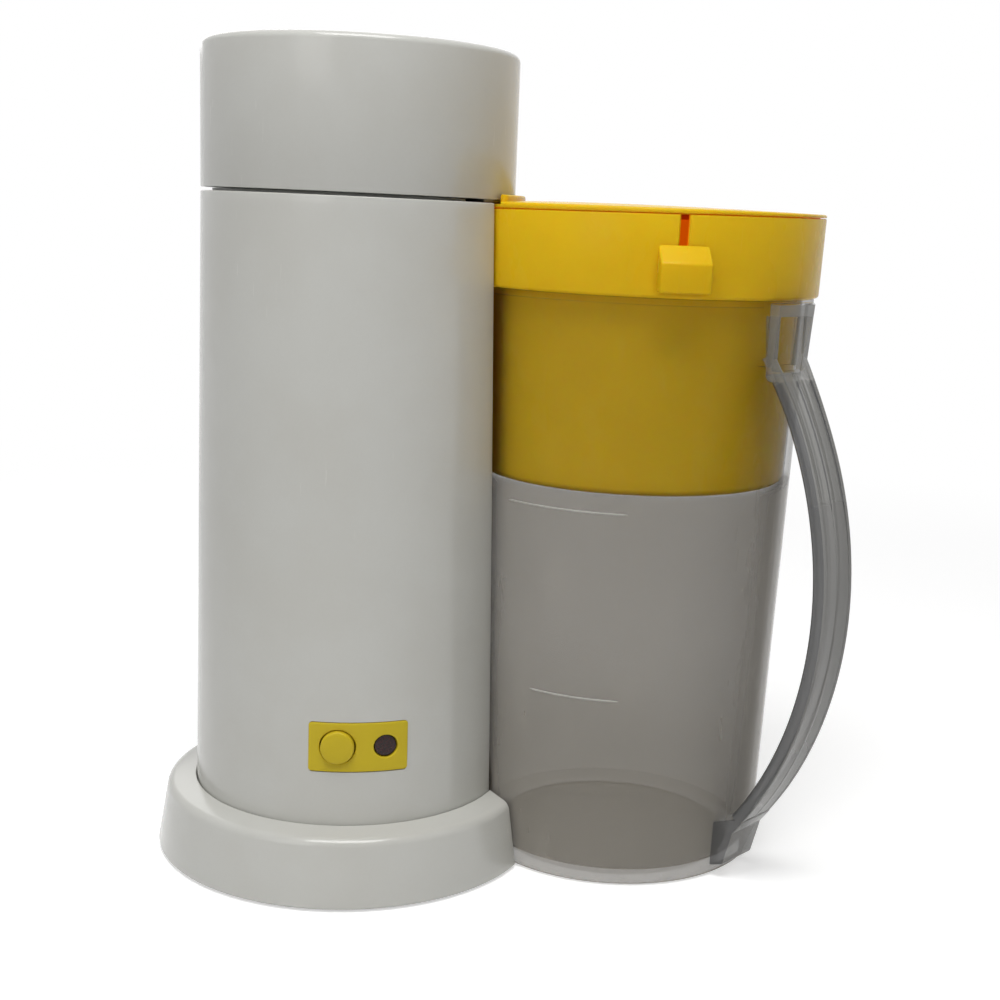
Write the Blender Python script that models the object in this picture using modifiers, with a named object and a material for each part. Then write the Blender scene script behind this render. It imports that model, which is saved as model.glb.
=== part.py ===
"""Iced tea maker: a brewing tower with a hinged head, and a clear pitcher that docks in its hollow side.

Lengths are in metres, +Z is up. The tower's axis and the pitcher's axis both lie on the line Y = 0,
the controls face -Y, and the origin is the middle of the footprint, on the table.
"""

from math import atan2, cos, pi, radians, sin, sqrt, tan

import bmesh
import bpy
from mathutils import Matrix, Vector

# Tower: heights and radii of the head, the body and the foot
HEAD_H = 0.0550
HEAD_DOME = 0.0010
HEAD_FILLET = 0.0075
SEAM_Z = 0.2637
SEAM_GAP = 0.0013
SHELL_TOP_R = 0.0606
SHELL_FLARE = 0.0023
SHELL_BASE_Z = 0.0050
SKIRT_TOP_Z = 0.0290
SKIRT_STEP = 0.0113
SKIRT_EDGE_DROP = 0.0018
SKIRT_FILLET = 0.0040
SKIRT_FLARE = 0.0043
SKIRT_BASE_Z = 0.0010
SKIRT_FOOT_FILLET = 0.0010
WALL = 0.0022

# Pitcher: how far it stands in under the head, and the jug's own sizes
HEAD_REACH = 0.0197
JUG_TOP_R = 0.0681
JUG_DRAFT = 0.0068
JUG_WALL = 0.0025
JUG_FLOOR = 0.0035
JUG_FOOT_FILLET = 0.0032
JUG_RING_W = 0.0113
JUG_RECESS = 0.0016
RIM_STEP = 0.0019
RIM_H = 0.0032

# Handle: distances are outwards from the jug's top radius; upper heights are drops from the jug's rim
HANDLE_AZIMUTH = radians(-50)
HANDLE_TOP_OUT = 0.0037
HANDLE_TOP_DROP = 0.0213
HANDLE_TOP_LEAD_OUT = 0.0204
HANDLE_TOP_LEAD_DROP = 0.0490
HANDLE_MID_OUT = 0.0321
HANDLE_MID_Z = 0.1173
HANDLE_MID_LEAD = 0.0350
HANDLE_LOW_OUT = 0.0024
HANDLE_LOW_Z = 0.0275
HANDLE_LOW_LEAD_OUT = 0.0187
HANDLE_LOW_LEAD_Z = 0.0500
HANDLE_W = 0.0200
HANDLE_DEPTH = 0.0052
HANDLE_FLANGE = 0.0026
HANDLE_WEB = 0.0022
HANDLE_RIB = 0.0018
HANDLE_RIB_DEPTH = 0.0042
HANDLE_STATIONS = 8
YOKE_W = 0.0230
YOKE_DROP = 0.0055
YOKE_H = 0.0260
YOKE_OUT = 0.0069
YOKE_SIDE = 0.0026
YOKE_CAP = 0.0016
YOKE_FLOOR = 0.0050
YOKE_SKIN = 0.0003
HEEL_W = 0.0200
HEEL_TOP_OUT = 0.0079
HEEL_TOP_Z = 0.0300
HEEL_KNEE_OUT = 0.0019
HEEL_KNEE_Z = 0.0214
HEEL_TOE_IN = 0.0016
HEEL_TOE_Z = 0.0068
HEEL_ROOT_Z = 0.0045
HEEL_BACK_Z = 0.0235

# Brewing basket: the ring that stands on the jug's rim, and the cup that hangs in the jug
RING_DROP = 0.0017
RING_H = 0.0292
RING_STEP = 0.0044
RING_FLARE = 0.0009
RING_WALL = 0.0020
RING_FILLET = 0.0012
RING_FLOOR = 0.0020
CUP_H = 0.0745
CUP_WALL = 0.0018
CUP_GAP = 0.0006
CUP_FILLET = 0.0030
DRAIN_R = 0.0016
DRAIN_SPACING = 0.0170
DRAIN_COUNTS = (4, 8)
DRAIN_MIDDLE_R = 0.0034
SLOT_W = 0.0033
SLOT_FLOOR = 0.0047

# Strength slider: knob, neck through the slot, arm and gate
KNOB_W = 0.0190
KNOB_H = 0.0170
KNOB_BROW = 0.0065
KNOB_RISE = 0.0022
KNOB_DEPTH = 0.0066
KNOB_GAP = 0.0005
KNOB_BEVEL = 0.0007
NECK_H = 0.0110
GATE_PLATE = 0.0018
GATE_ARM_W = 0.0080
GATE_GAP = 0.0006
GATE_TONGUE = 0.0150
GATE_PORT_R = 0.0030
GATE_PORT_INSET = 0.0095

# Pitcher lid: domed disc, well under the head, curved wall round the head, lip inside the ring
LID_EDGE_H = 0.0027
LID_DOME = 0.0016
LID_FILLET = 0.0012
LID_WELL_FLOOR = 0.0012
LID_HEAD_GAP = 0.0008
LID_WALL = 0.0020
LID_WALL_RISE = 0.0041
LID_LIP = 0.0015
LID_LIP_H = 0.0025
LID_LIP_GAP = 0.0004
LID_LIP_BREAK = 0.0140
LID_PORT_R = 0.0048

# Docking hollow in the tower's side: clearances to the ring and to the jug's foot
HOLLOW_TOP_GAP = 0.0010
HOLLOW_FOOT_GAP = 0.0012

# Controls, on the body's front; angles are azimuths about the tower's axis
PANEL_AZIMUTH = radians(-88.5)
PANEL_W = 0.0369
PANEL_H = 0.0193
PANEL_Z = 0.0600
PANEL_PROUD = 0.0003
PANEL_CORNER = 0.0012
PANEL_FLANGE = 0.0025
PANEL_FLANGE_T = 0.0015
PANEL_BACK = 0.0003
BUTTON_AZIMUTH = radians(-95.8)
BUTTON_Z = 0.0602
BUTTON_R = 0.0064
BUTTON_PROUD = 0.0020
BUTTON_TRAVEL = 0.0015
BUTTON_FLANGE = 0.0010
BUTTON_EDGE = 0.0008
LENS_AZIMUTH = radians(-79.0)
LENS_Z = 0.0602
LENS_R = 0.0042
LENS_INSET = 0.0005
LAMP_R = 0.0028
LAMP_L = 0.0120
SWITCH_SIDE = 0.0152
SWITCH_L = 0.0140
SWITCH_GAP = 0.0010
PLUNGER_R = 0.0020
PLUNGER_L = 0.0060
CRADLE_T = 0.0020
CRADLE_W = 0.0080

# Head hinge, at the back of the seam
HINGE_OUT = 0.0034
HINGE_RISE = 0.0043
HINGE_R = 0.0032
HINGE_PIN_R = 0.0015
HINGE_PIN_PLAY = 0.0001
KNUCKLE_W = 0.0172
LUG_W = 0.0050
LUG_GAP = 0.0004
LUG_DROP = 0.0160
LUG_LEAN = 0.0070

# Water tank, hung from a ledge inside the body
LEDGE_DROP = 0.0067
LEDGE_H = 0.0025
LEDGE_W = 0.0018
TANK_BASE_Z = 0.1000
TANK_WALL = 0.0018
TANK_GAP = 0.0005
TANK_FLANGE = 0.0015
TANK_RIM_RISE = 0.0010
TANK_DRAFT = 0.0010
RISER_SPACE = 0.0115
NIPPLE_R = 0.0040
NIPPLE_BORE_R = 0.0025
NIPPLE_L = 0.0080

# Outlet over the pitcher lid
SPOUT_PLATE = 0.0020
SPOUT_W = 0.0200
SPOUT_H = 0.0100
SPOUT_WALL = 0.0018
SPOUT_SOCKET_WALL = 0.0014
OUTLET_R = 0.0035
OUTLET_INSET = 0.0075

# Heating circuit in the foot
TUBE_R = 0.0038
TUBE_BORE_R = 0.0024
RISER_DROP = 0.0100
HEATER_R = 0.0070
HEATER_ROOM = 0.0284
HEATER_Z = 0.0215
HEATER_AT = (-0.0080, 0.0)
HEATER_OPENING = radians(70)
HEATER_STUB_TOP_Z = 0.0360
HEATER_STEPS = 20
HOSE_STRAIGHT_SHARE = 0.1
VALVE_R = 0.0065
VALVE_DROP = 0.0260
VALVE_L = 0.0220
THERMOSTAT_R = 0.0070
THERMOSTAT_H = 0.0060
THERMOSTAT_AZIMUTH = radians(180)
FUSE_R = 0.0022
FUSE_L = 0.0140
FUSE_AZIMUTH = radians(115)
POST_AZIMUTHS = (radians(150), radians(210), radians(90), radians(270))
POST_R = 0.0050

# Bottom cover, feet, screws and the cord's gland
COVER_Z = 0.0026
COVER_T = 0.0020
COVER_GAP = 0.0004
FOOT_R = 0.0060
FOOT_STEM_R = 0.0022
FOOT_STEM_PLAY = 0.0003
FOOT_INSET = 0.0095
FOOT_AZIMUTHS = (radians(55), radians(135), radians(225), radians(305))
SCREW_AZIMUTHS = (radians(75), radians(155), radians(205), radians(285))
BOSS_HOLE_SHARE = 0.8
SCREW_R = 0.0015
SCREW_HEAD_R = 0.0030
SCREW_HEAD_H = 0.0016
SCREW_L = 0.0100
BOSS_R = 0.0038
BOSS_L = 0.0160
BOSS_BITE = 0.0010
GLAND_AZIMUTH = radians(122)
GLAND_Z = 0.0125
GLAND_R = 0.0045
GLAND_FLANGE_R = 0.0062
GLAND_OUT = 0.0040
GLAND_IN = 0.0050
GLAND_BORE_R = 0.0030

# Clearances and modelling steps
SEAT = 0.0003
OVERRUN = 0.0100
BITE = 0.0006
STEPS = 44
HIDDEN_STEPS = 32
SMALL_STEPS = 16
ARC_STEPS = 4
ARC_CHORD = 0.0012
SHARP_ANGLE = radians(35)

PARTS_NAME = "iced_tea_maker"

# Radii and heights that follow from the sizes above
SHELL_LOW_R = SHELL_TOP_R + SHELL_FLARE
SKIRT_EDGE_R = SHELL_LOW_R + SKIRT_STEP
SKIRT_FOOT_R = SKIRT_EDGE_R + SKIRT_FLARE
FOOT_RADIUS = SKIRT_FOOT_R - FOOT_INSET
HEATER_BEND_R = SHELL_TOP_R - WALL - HEATER_ROOM
JUG_FOOT_R = JUG_TOP_R - JUG_DRAFT
JUG_RECESS_R = JUG_FOOT_R - JUG_RING_W
RIM_R = JUG_TOP_R + RIM_STEP
RING_TOP_R = JUG_TOP_R + RING_STEP
RING_LOW_R = RING_TOP_R - RING_FLARE
HEAD_IN_R = SHELL_TOP_R - WALL
LID_WALL_R = SHELL_TOP_R + LID_HEAD_GAP
PITCHER_X = SHELL_TOP_R + RING_TOP_R - HEAD_REACH
HINGE_Y = SHELL_TOP_R + HINGE_OUT
HINGE_Z = SEAM_Z + HINGE_RISE
HEAD_BASE_Z = SEAM_Z + SEAM_GAP
HEAD_TOP_Z = HEAD_BASE_Z + HEAD_H
RING_TOP_Z = SEAM_Z - RING_DROP
RING_BASE_Z = RING_TOP_Z - RING_H
JUG_RIM_Z = RING_BASE_Z - SEAT
YOKE_TOP_Z = JUG_RIM_Z - YOKE_DROP
YOKE_LOW_Z = YOKE_TOP_Z - YOKE_H
CUP_BASE_Z = RING_BASE_Z - CUP_H
CUP_FLOOR_Z = CUP_BASE_Z + CUP_WALL
SLOT_BASE_Z = RING_BASE_Z + SLOT_FLOOR
NECK_BASE_Z = SLOT_BASE_Z + SEAT
KNOB_BASE_Z = RING_BASE_Z + KNOB_RISE
KNOB_TOP_Z = KNOB_BASE_Z + KNOB_H
LID_BASE_Z = RING_TOP_Z + SEAT
LID_WELL_Z = LID_BASE_Z + LID_WELL_FLOOR
LID_WALL_TOP_Z = SEAM_Z + LID_WALL_RISE
LEDGE_Z = SEAM_Z - LEDGE_DROP
TANK_TOP_Z = LEDGE_Z + SEAT + TANK_FLANGE
TANK_RIM_Z = SEAM_Z + TANK_RIM_RISE
RISER_BASE_Z = TANK_BASE_Z - RISER_DROP
VALVE_TOP_Z = TANK_BASE_Z - VALVE_DROP
STUB_AZIMUTH = HEATER_OPENING / 2 + HEATER_R / HEATER_BEND_R


def clear_scene():
    """Removes what the scene holds, and gives the two collections."""
    for thing in list(bpy.data.objects):
        bpy.data.objects.remove(thing)
    made = []
    for name in (PARTS_NAME, "cutters"):
        collection = bpy.data.collections.new(name)
        bpy.context.scene.collection.children.link(collection)
        made.append(collection)
    return made


PARTS, CUTTERS = clear_scene()


def finish(name, colour, roughness, metallic=0.0):
    """A Principled material."""
    material = bpy.data.materials.new(name)
    material.use_nodes = True
    shader = material.node_tree.nodes["Principled BSDF"]
    shader.inputs["Base Color"].default_value = (*colour, 1.0)
    shader.inputs["Roughness"].default_value = roughness
    shader.inputs["Metallic"].default_value = metallic
    material.diffuse_color = (*colour, 1.0)
    return material


CREAM = ((0.80, 0.80, 0.74), 0.22)
YELLOW = ((0.86, 0.60, 0.03), 0.30)
CLEAR = ((0.86, 0.88, 0.88), 0.08)
STEEL = ((0.60, 0.60, 0.62), 0.30, 1.0)
ALUMINIUM = ((0.70, 0.70, 0.72), 0.40, 1.0)
RED = ((0.16, 0.01, 0.01), 0.12)
AMBER = ((0.80, 0.35, 0.20), 0.10)
RUBBER = ((0.05, 0.05, 0.05), 0.70)
SILICONE = ((0.75, 0.75, 0.72), 0.45)


def between(z, low, high):
    """The radius at height z of a cone given by two (radius, height) pairs."""
    share = (z - low[1]) / (high[1] - low[1])
    return low[0] + (high[0] - low[0]) * share


def shell_r(z):
    return between(z, (SHELL_LOW_R, SKIRT_TOP_Z), (SHELL_TOP_R, SEAM_Z))


def hollow_r(z):
    return between(z, (JUG_FOOT_R + HOLLOW_FOOT_GAP, 0), (RING_TOP_R + HOLLOW_TOP_GAP, SEAM_Z))


def jug_r(z):
    return between(z, (JUG_FOOT_R, 0), (JUG_TOP_R, JUG_RIM_Z))


def ring_r(z):
    return between(z, (RING_LOW_R, RING_BASE_Z), (RING_TOP_R, RING_TOP_Z))


def panel_r(z):
    return shell_r(z) + PANEL_PROUD


def polar(radius, azimuth, z=0.0):
    return Vector((radius * cos(azimuth), radius * sin(azimuth), z))


# The riser stands halfway between the docking hollow and the tank
RISER_X = PITCHER_X - hollow_r(LEDGE_Z) - WALL - RISER_SPACE / 2


def move_to(obj, place=(0, 0, 0), turn=None, parent=None):
    """Places an object, turned first and then moved, under its parent."""
    obj.parent = parent
    obj.matrix_local = Matrix.Translation(Vector(place)) @ (turn or Matrix.Identity(4))
    return obj


def add_object(name, mesh, look=None):
    """A part when it has a look, and otherwise a hidden helper that only cuts, joins or guides."""
    obj = bpy.data.objects.new(name, mesh)
    if look is None:
        CUTTERS.objects.link(obj)
        obj.hide_render = True
        obj.display_type = "WIRE"
    else:
        PARTS.objects.link(obj)
        mesh.materials.append(finish(name, *look))
        mesh.shade_smooth()
        mesh.set_sharp_from_angle(angle=SHARP_ANGLE)
    return obj


def arc_corner(before, corner, after, radius):
    """The points of a round corner, or the corner itself where the radius is zero."""
    here = Vector(corner)
    a = (Vector(before) - here).normalized()
    b = (Vector(after) - here).normalized()
    half = a.angle(b) / 2
    if not radius or abs(half - pi / 2) < radians(1):
        return [here]
    reach = min(radius / tan(half), (Vector(before) - here).length / 2, (Vector(after) - here).length / 2)
    radius = reach * tan(half)
    centre = here + (a + b).normalized() * (radius / sin(half))
    start = here + a * reach - centre
    end = here + b * reach - centre
    turn = start.angle_signed(end)
    steps = max(1, min(ARC_STEPS, round(radius * abs(turn) / ARC_CHORD)))
    return [centre + Matrix.Rotation(-turn * i / steps, 2) @ start for i in range(steps + 1)]


def rounded(corners):
    """A closed outline from (x, y) or (x, y, corner radius) points, with its round corners as arcs."""
    flat = [Vector(corner[:2]) for corner in corners]
    outline = []
    for i, corner in enumerate(corners):
        radius = corner[2] if len(corner) > 2 else 0
        outline += arc_corner(flat[i - 1], flat[i], flat[(i + 1) % len(flat)], radius)
    return outline


def turned(name, corners, look=None, steps=STEPS):
    """A turned body: a profile of (radius, height) corners, run down its outer side, under a Screw.

    A part starts half a step further round than a helper, so that their edges never meet end to end.
    """
    mesh = bpy.data.meshes.new(name)
    first = pi / steps if look else 0
    points = [polar(point.x, first, point.y) for point in rounded(corners)]
    pairs = [(i, (i + 1) % len(points)) for i in range(len(points))]
    mesh.from_pydata(points, [pair for pair in pairs if any(points[i].x for i in pair)], [])
    obj = add_object(name, mesh, look)
    screw = obj.modifiers.new("turn", "SCREW")
    screw.steps = screw.render_steps = steps
    screw.use_merge_vertices = True
    screw.merge_threshold = 0.00001
    screw.use_smooth_shade = True
    return obj


def mesh_from(name, build, look=None):
    """A mesh object built by a function that works on a bmesh."""
    work = bmesh.new()
    build(work)
    bmesh.ops.recalc_face_normals(work, faces=work.faces)
    mesh = bpy.data.meshes.new(name)
    work.to_mesh(mesh)
    work.free()
    return add_object(name, mesh, look)


def box(name, low, high, look=None):
    """A box between two corners."""
    low, high = Vector(low), Vector(high)

    def build(work):
        size = Matrix.Diagonal((*(high - low), 1))
        bmesh.ops.create_cube(work, size=1, matrix=Matrix.Translation((low + high) / 2) @ size)

    return mesh_from(name, build, look)


def rod(name, radius, start, end, look=None, steps=SMALL_STEPS, end_radius=None):
    """A cylinder, or a cone where the end has its own radius, between two points."""
    start, end = Vector(start), Vector(end)
    along = end - start

    def build(work):
        turn = along.to_track_quat("Z", "Y").to_matrix().to_4x4()
        bmesh.ops.create_cone(
            work,
            cap_ends=True,
            segments=steps,
            radius1=radius,
            radius2=radius if end_radius is None else end_radius,
            depth=along.length,
            matrix=Matrix.Translation((start + end) / 2) @ turn,
        )

    return mesh_from(name, build, look)


def prism(name, corners, width, look=None):
    """An outline of (x, z) corners, drawn out to a width along Y, centred on Y = 0."""

    def build(work):
        points = [work.verts.new((point.x, -width / 2, point.y)) for point in rounded(corners)]
        face = work.faces.new(points)
        drawn = bmesh.ops.extrude_face_region(work, geom=[face])
        moved = [item for item in drawn["geom"] if isinstance(item, bmesh.types.BMVert)]
        bmesh.ops.translate(work, vec=(0, width, 0), verts=moved)

    return mesh_from(name, build, look)


def tube(name, radius, points, look=None, resolution=2):
    """A round bar along a smooth path through the points, as a closed mesh."""
    curve = bpy.data.curves.new(name, "CURVE")
    curve.dimensions = "3D"
    curve.bevel_depth = radius
    curve.bevel_resolution = resolution
    curve.use_fill_caps = True
    spline = curve.splines.new("POLY")
    spline.points.add(len(points) - 1)
    for spot, point in zip(spline.points, points):
        spot.co = (*point, 1)
    return from_curve(name, curve, look)


def from_curve(name, curve, look):
    """The mesh of a curve, with its caps welded on."""
    guide = bpy.data.objects.new(name + "_guide", curve)
    CUTTERS.objects.link(guide)
    bpy.context.view_layer.update()
    mesh = bpy.data.meshes.new_from_object(guide.evaluated_get(bpy.context.evaluated_depsgraph_get()))
    bpy.data.objects.remove(guide)
    work = bmesh.new()
    work.from_mesh(mesh)
    bmesh.ops.remove_doubles(work, verts=work.verts, dist=0.00001)
    bmesh.ops.recalc_face_normals(work, faces=work.faces)
    work.to_mesh(mesh)
    work.free()
    mesh.materials.clear()
    return add_object(name, mesh, look)


def bend_path(start, start_lead, end_lead, end, count=10):
    """Points along a smooth curve that leaves and arrives through its two leads."""
    spots = [Vector(point) for point in (start, start_lead, end_lead, end)]
    path = []
    for i in range(count + 1):
        t = i / count
        shares = ((1 - t) ** 3, 3 * t * (1 - t) ** 2, 3 * t**2 * (1 - t), t**3)
        path.append(sum((spot * share for spot, share in zip(spots, shares)), Vector()))
    return path


def combine(obj, operation, *others):
    """Adds one Boolean to the object for each of the others."""
    for other in others:
        step = obj.modifiers.new(operation.lower() + "_" + other.name, "BOOLEAN")
        step.operation = operation
        step.solver = "EXACT"
        step.object = other
    return obj


def cut(obj, *cutters):
    return combine(obj, "DIFFERENCE", *cutters)


def join(obj, *others):
    return combine(obj, "UNION", *others)


def keep_inside(obj, *others):
    return combine(obj, "INTERSECT", *others)


def soften(obj, width, segments=2, angle=radians(40)):
    """Rounds the object's sharp edges."""
    bevel = obj.modifiers.new("soft_edges", "BEVEL")
    bevel.width = width
    bevel.segments = segments
    bevel.limit_method = "ANGLE"
    bevel.angle_limit = angle
    return obj


def empty(name, place=(0, 0, 0), parent=None):
    guide = bpy.data.objects.new(name, None)
    PARTS.objects.link(guide)
    return move_to(guide, place, parent=parent)


MAKER = empty("maker")
TOWER = empty("tower_axis", parent=MAKER)
PITCHER = empty("pitcher_axis", (PITCHER_X, 0, 0), MAKER)
HEAD_HINGE = empty("head_hinge_axis", (0, HINGE_Y, HINGE_Z), TOWER)


def on_tower(obj, place=(0, 0, 0), turn=None):
    return move_to(obj, place, turn, TOWER)


def on_pitcher(obj, place=(0, 0, 0), turn=None):
    return move_to(obj, place, turn, PITCHER)


def cone_cutter(name, radius_at, low_z, high_z, grow=0.0):
    """A solid cone of the radius that a function gives for each height."""
    return turned(
        name,
        [(0, high_z), (radius_at(high_z) + grow, high_z), (radius_at(low_z) + grow, low_z), (0, low_z)],
    )


def hollow_cutter(name, grow=0.0):
    """The room that the docked pitcher takes out of the tower's side."""
    return on_pitcher(cone_cutter(name, hollow_r, -OVERRUN, HEAD_TOP_Z, grow))


HOLLOW = hollow_cutter("hollow")
HOLLOW_WALL = hollow_cutter("hollow_wall", WALL)


def stepped(radius_at, grow, low_z, high_z, ledge):
    """Corners of a solid of revolution with a ledge that stands in by the given width."""
    ledge_base = LEDGE_Z - LEDGE_H
    heights = ((high_z, 0), (LEDGE_Z, 0), (LEDGE_Z, ledge), (ledge_base, ledge), (ledge_base, 0), (low_z, 0))
    return [(0, high_z), *((radius_at(z) + grow + step, z) for z, step in heights), (0, low_z)]


def make_shell():
    """The body: a hollow drum with a concave side, a ledge for the tank, hinge lugs and screw bosses."""
    shell = on_tower(
        turned(
            "tower_shell",
            [(0, SEAM_Z), (shell_r(SEAM_Z), SEAM_Z), (shell_r(SHELL_BASE_Z), SHELL_BASE_Z), (0, SHELL_BASE_Z)],
            CREAM,
        )
    )
    low_z, high_z = SHELL_BASE_Z - OVERRUN, SEAM_Z + OVERRUN
    inside = on_tower(turned("shell_inside", stepped(shell_r, -WALL, low_z, high_z, -LEDGE_W)))
    inside_hollow = on_pitcher(
        turned("shell_inside_hollow", stepped(hollow_r, WALL, low_z - OVERRUN, high_z + OVERRUN, LEDGE_W))
    )
    cut(inside, inside_hollow)
    cut(shell, HOLLOW, inside)
    for i, azimuth in enumerate(SCREW_AZIMUTHS):
        boss, hole = screw_boss(i, azimuth)
        join(shell, boss)
        cut(shell, hole)
    for side in (-1, 1):
        join(shell, *hinge_lug(side))
    pin_hole = rod("lug_pin_hole", HINGE_PIN_R + HINGE_PIN_PLAY, (-KNUCKLE_W, 0, 0), (KNUCKLE_W, 0, 0))
    move_to(pin_hole, parent=HEAD_HINGE)
    cut(shell, pin_hole, panel_window("panel_window", PANEL_BACK))
    return shell


def boss_radius():
    return shell_r(SHELL_BASE_Z + BOSS_L) - WALL - BOSS_R + BOSS_BITE


def screw_boss(i, azimuth):
    """A boss on the inside of the body, and the hole for its screw."""
    centre = polar(boss_radius(), azimuth, SHELL_BASE_Z + SEAT)
    up = Vector((0, 0, BOSS_L))
    boss = on_tower(rod(f"boss_{i}", BOSS_R, centre, centre + up))
    hole_low = centre - Vector((0, 0, OVERRUN))
    hole = on_tower(rod(f"boss_hole_{i}", SCREW_R + SEAT, hole_low, centre + up * BOSS_HOLE_SHARE, steps=8))
    return boss, hole


def hinge_lug(side):
    """One ear of the head's hinge, behind the seam, and its round end."""
    middle = side * (KNUCKLE_W / 2 + LUG_GAP + LUG_W / 2)
    root = SHELL_TOP_R - WALL
    face = SHELL_TOP_R + BITE
    back = HINGE_Y + HINGE_R
    low = SEAM_Z - LUG_DROP
    shelf = SEAM_Z - SEAT
    front = [(face, shelf), (root, shelf), (root, low), (face, low)]
    ear = prism(f"lug_{side}", [*front, (back, low + LUG_LEAN), (back, HINGE_Z), (face, HINGE_Z)], LUG_W)
    on_tower(ear, (middle, 0, 0), Matrix.Rotation(pi / 2, 4, "Z"))
    half = LUG_W / 2
    end = rod(f"lug_end_{side}", HINGE_R, (middle - half, 0, 0), (middle + half, 0, 0))
    return ear, move_to(end, parent=HEAD_HINGE)


def panel_window(name, gap):
    """The opening for the control panel, as a rounded block that runs along the panel's facing."""
    half_w, half_h, corner = PANEL_W / 2 + gap, PANEL_H / 2 + gap, PANEL_CORNER + gap
    outline = [
        (-half_w, PANEL_Z - half_h, corner),
        (half_w, PANEL_Z - half_h, corner),
        (half_w, PANEL_Z + half_h, corner),
        (-half_w, PANEL_Z + half_h, corner),
    ]
    block = prism(name, outline, SHELL_LOW_R)
    return on_tower(block, polar(SHELL_LOW_R, PANEL_AZIMUTH), Matrix.Rotation(PANEL_AZIMUTH + pi / 2, 4, "Z"))


def make_skirt():
    """The flared foot: a round-shouldered shell, open below, that stops at the docking hollow."""
    edge_z = SKIRT_TOP_Z - SKIRT_EDGE_DROP
    skirt = on_tower(
        turned(
            "base_skirt",
            [
                (shell_r(SKIRT_TOP_Z) + SEAT, SKIRT_TOP_Z),
                (SKIRT_EDGE_R, edge_z, SKIRT_FILLET),
                (SKIRT_FOOT_R, SKIRT_BASE_Z, SKIRT_FOOT_FILLET),
                (shell_r(SKIRT_BASE_Z) + SEAT, SKIRT_BASE_Z),
            ],
            CREAM,
        )
    )
    inside = on_tower(
        turned(
            "skirt_inside",
            [
                (0, SKIRT_TOP_Z - WALL),
                (SHELL_LOW_R, SKIRT_TOP_Z - WALL),
                (skirt_in_r(edge_z - WALL), edge_z - WALL, SKIRT_FILLET),
                (skirt_in_r(-OVERRUN), -OVERRUN),
                (0, -OVERRUN),
            ],
        )
    )
    cut(inside, HOLLOW_WALL)
    gland_hole = gland_rod("gland_hole", GLAND_R + SEAT, OVERRUN, OVERRUN)
    return cut(skirt, HOLLOW, inside, gland_hole)


def skirt_in_r(z):
    """The inner radius of the skirt's sloping side."""
    edge_z = SKIRT_TOP_Z - SKIRT_EDGE_DROP
    return between(z, (SKIRT_FOOT_R, SKIRT_BASE_Z), (SKIRT_EDGE_R, edge_z)) - WALL


def gland_rod(name, radius, outwards, inwards, look=None):
    """A round bar along the cord's way through the skirt."""
    wall = skirt_in_r(GLAND_Z) + WALL
    start = polar(wall - WALL - inwards, GLAND_AZIMUTH, GLAND_Z)
    end = polar(wall + outwards, GLAND_AZIMUTH, GLAND_Z)
    return on_tower(rod(name, radius, start, end, look))


def make_gland():
    """The bush that the supply lead comes out of."""
    gland = gland_rod("cord_gland", GLAND_R, GLAND_OUT, GLAND_IN, RUBBER)
    wall = skirt_in_r(GLAND_Z) + WALL
    lean = atan2(SKIRT_FOOT_R - SKIRT_EDGE_R, SKIRT_TOP_Z - SKIRT_BASE_Z) * GLAND_FLANGE_R
    collar_in = polar(wall + lean + SEAT, GLAND_AZIMUTH, GLAND_Z)
    collar_out = polar(wall + GLAND_OUT, GLAND_AZIMUTH, GLAND_Z)
    collar = on_tower(rod("gland_collar", GLAND_FLANGE_R, collar_in, collar_out))
    join(gland, collar)
    return cut(gland, gland_rod("gland_bore", GLAND_BORE_R, OVERRUN, OVERRUN))


def make_cover():
    """The bottom cover, with holes for the screws and feet, and posts under the heater."""
    top = COVER_Z + COVER_T
    cover_r = skirt_in_r(top) - COVER_GAP
    cover = on_tower(rod("bottom_cover", cover_r, (0, 0, COVER_Z), (0, 0, top), RUBBER, steps=STEPS))
    cut(cover, hollow_cutter("cover_hollow", WALL + COVER_GAP))
    for i, azimuth in enumerate(SCREW_AZIMUTHS):
        centre = polar(boss_radius(), azimuth, COVER_Z)
        reach = Vector((0, 0, OVERRUN))
        cut(cover, on_tower(rod(f"cover_hole_{i}", SCREW_R + SEAT, centre - reach, centre + reach, steps=8)))
    for i, azimuth in enumerate(FOOT_AZIMUTHS):
        centre = polar(FOOT_RADIUS, azimuth, COVER_Z)
        reach = Vector((0, 0, OVERRUN))
        hole_r = FOOT_STEM_R + FOOT_STEM_PLAY
        cut(cover, on_tower(rod(f"foot_hole_{i}", hole_r, centre - reach, centre + reach, steps=8)))
    for i, azimuth in enumerate(POST_AZIMUTHS):
        centre = Vector((*HEATER_AT, COVER_Z + BITE)) + polar(HEATER_BEND_R, azimuth)
        tip = Vector((centre.x, centre.y, HEATER_Z - HEATER_R - SEAT))
        join(cover, on_tower(rod(f"post_{i}", POST_R, centre, tip, steps=12)))
    return cover


def make_feet():
    """Rubber feet, each with a stem in the bottom cover."""
    top = COVER_Z - SEAT
    for i, azimuth in enumerate(FOOT_AZIMUTHS):
        corners = [
            (0, COVER_Z + COVER_T + SEAT),
            (FOOT_STEM_R, COVER_Z + COVER_T + SEAT),
            (FOOT_STEM_R, top),
            (FOOT_R, top, SEAT),
            (FOOT_R - SEAT * 2, 0, SEAT),
            (0, 0),
        ]
        foot = turned(f"foot_{i + 1}", corners, RUBBER, steps=SMALL_STEPS)
        on_tower(foot, polar(FOOT_RADIUS, azimuth))


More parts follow.
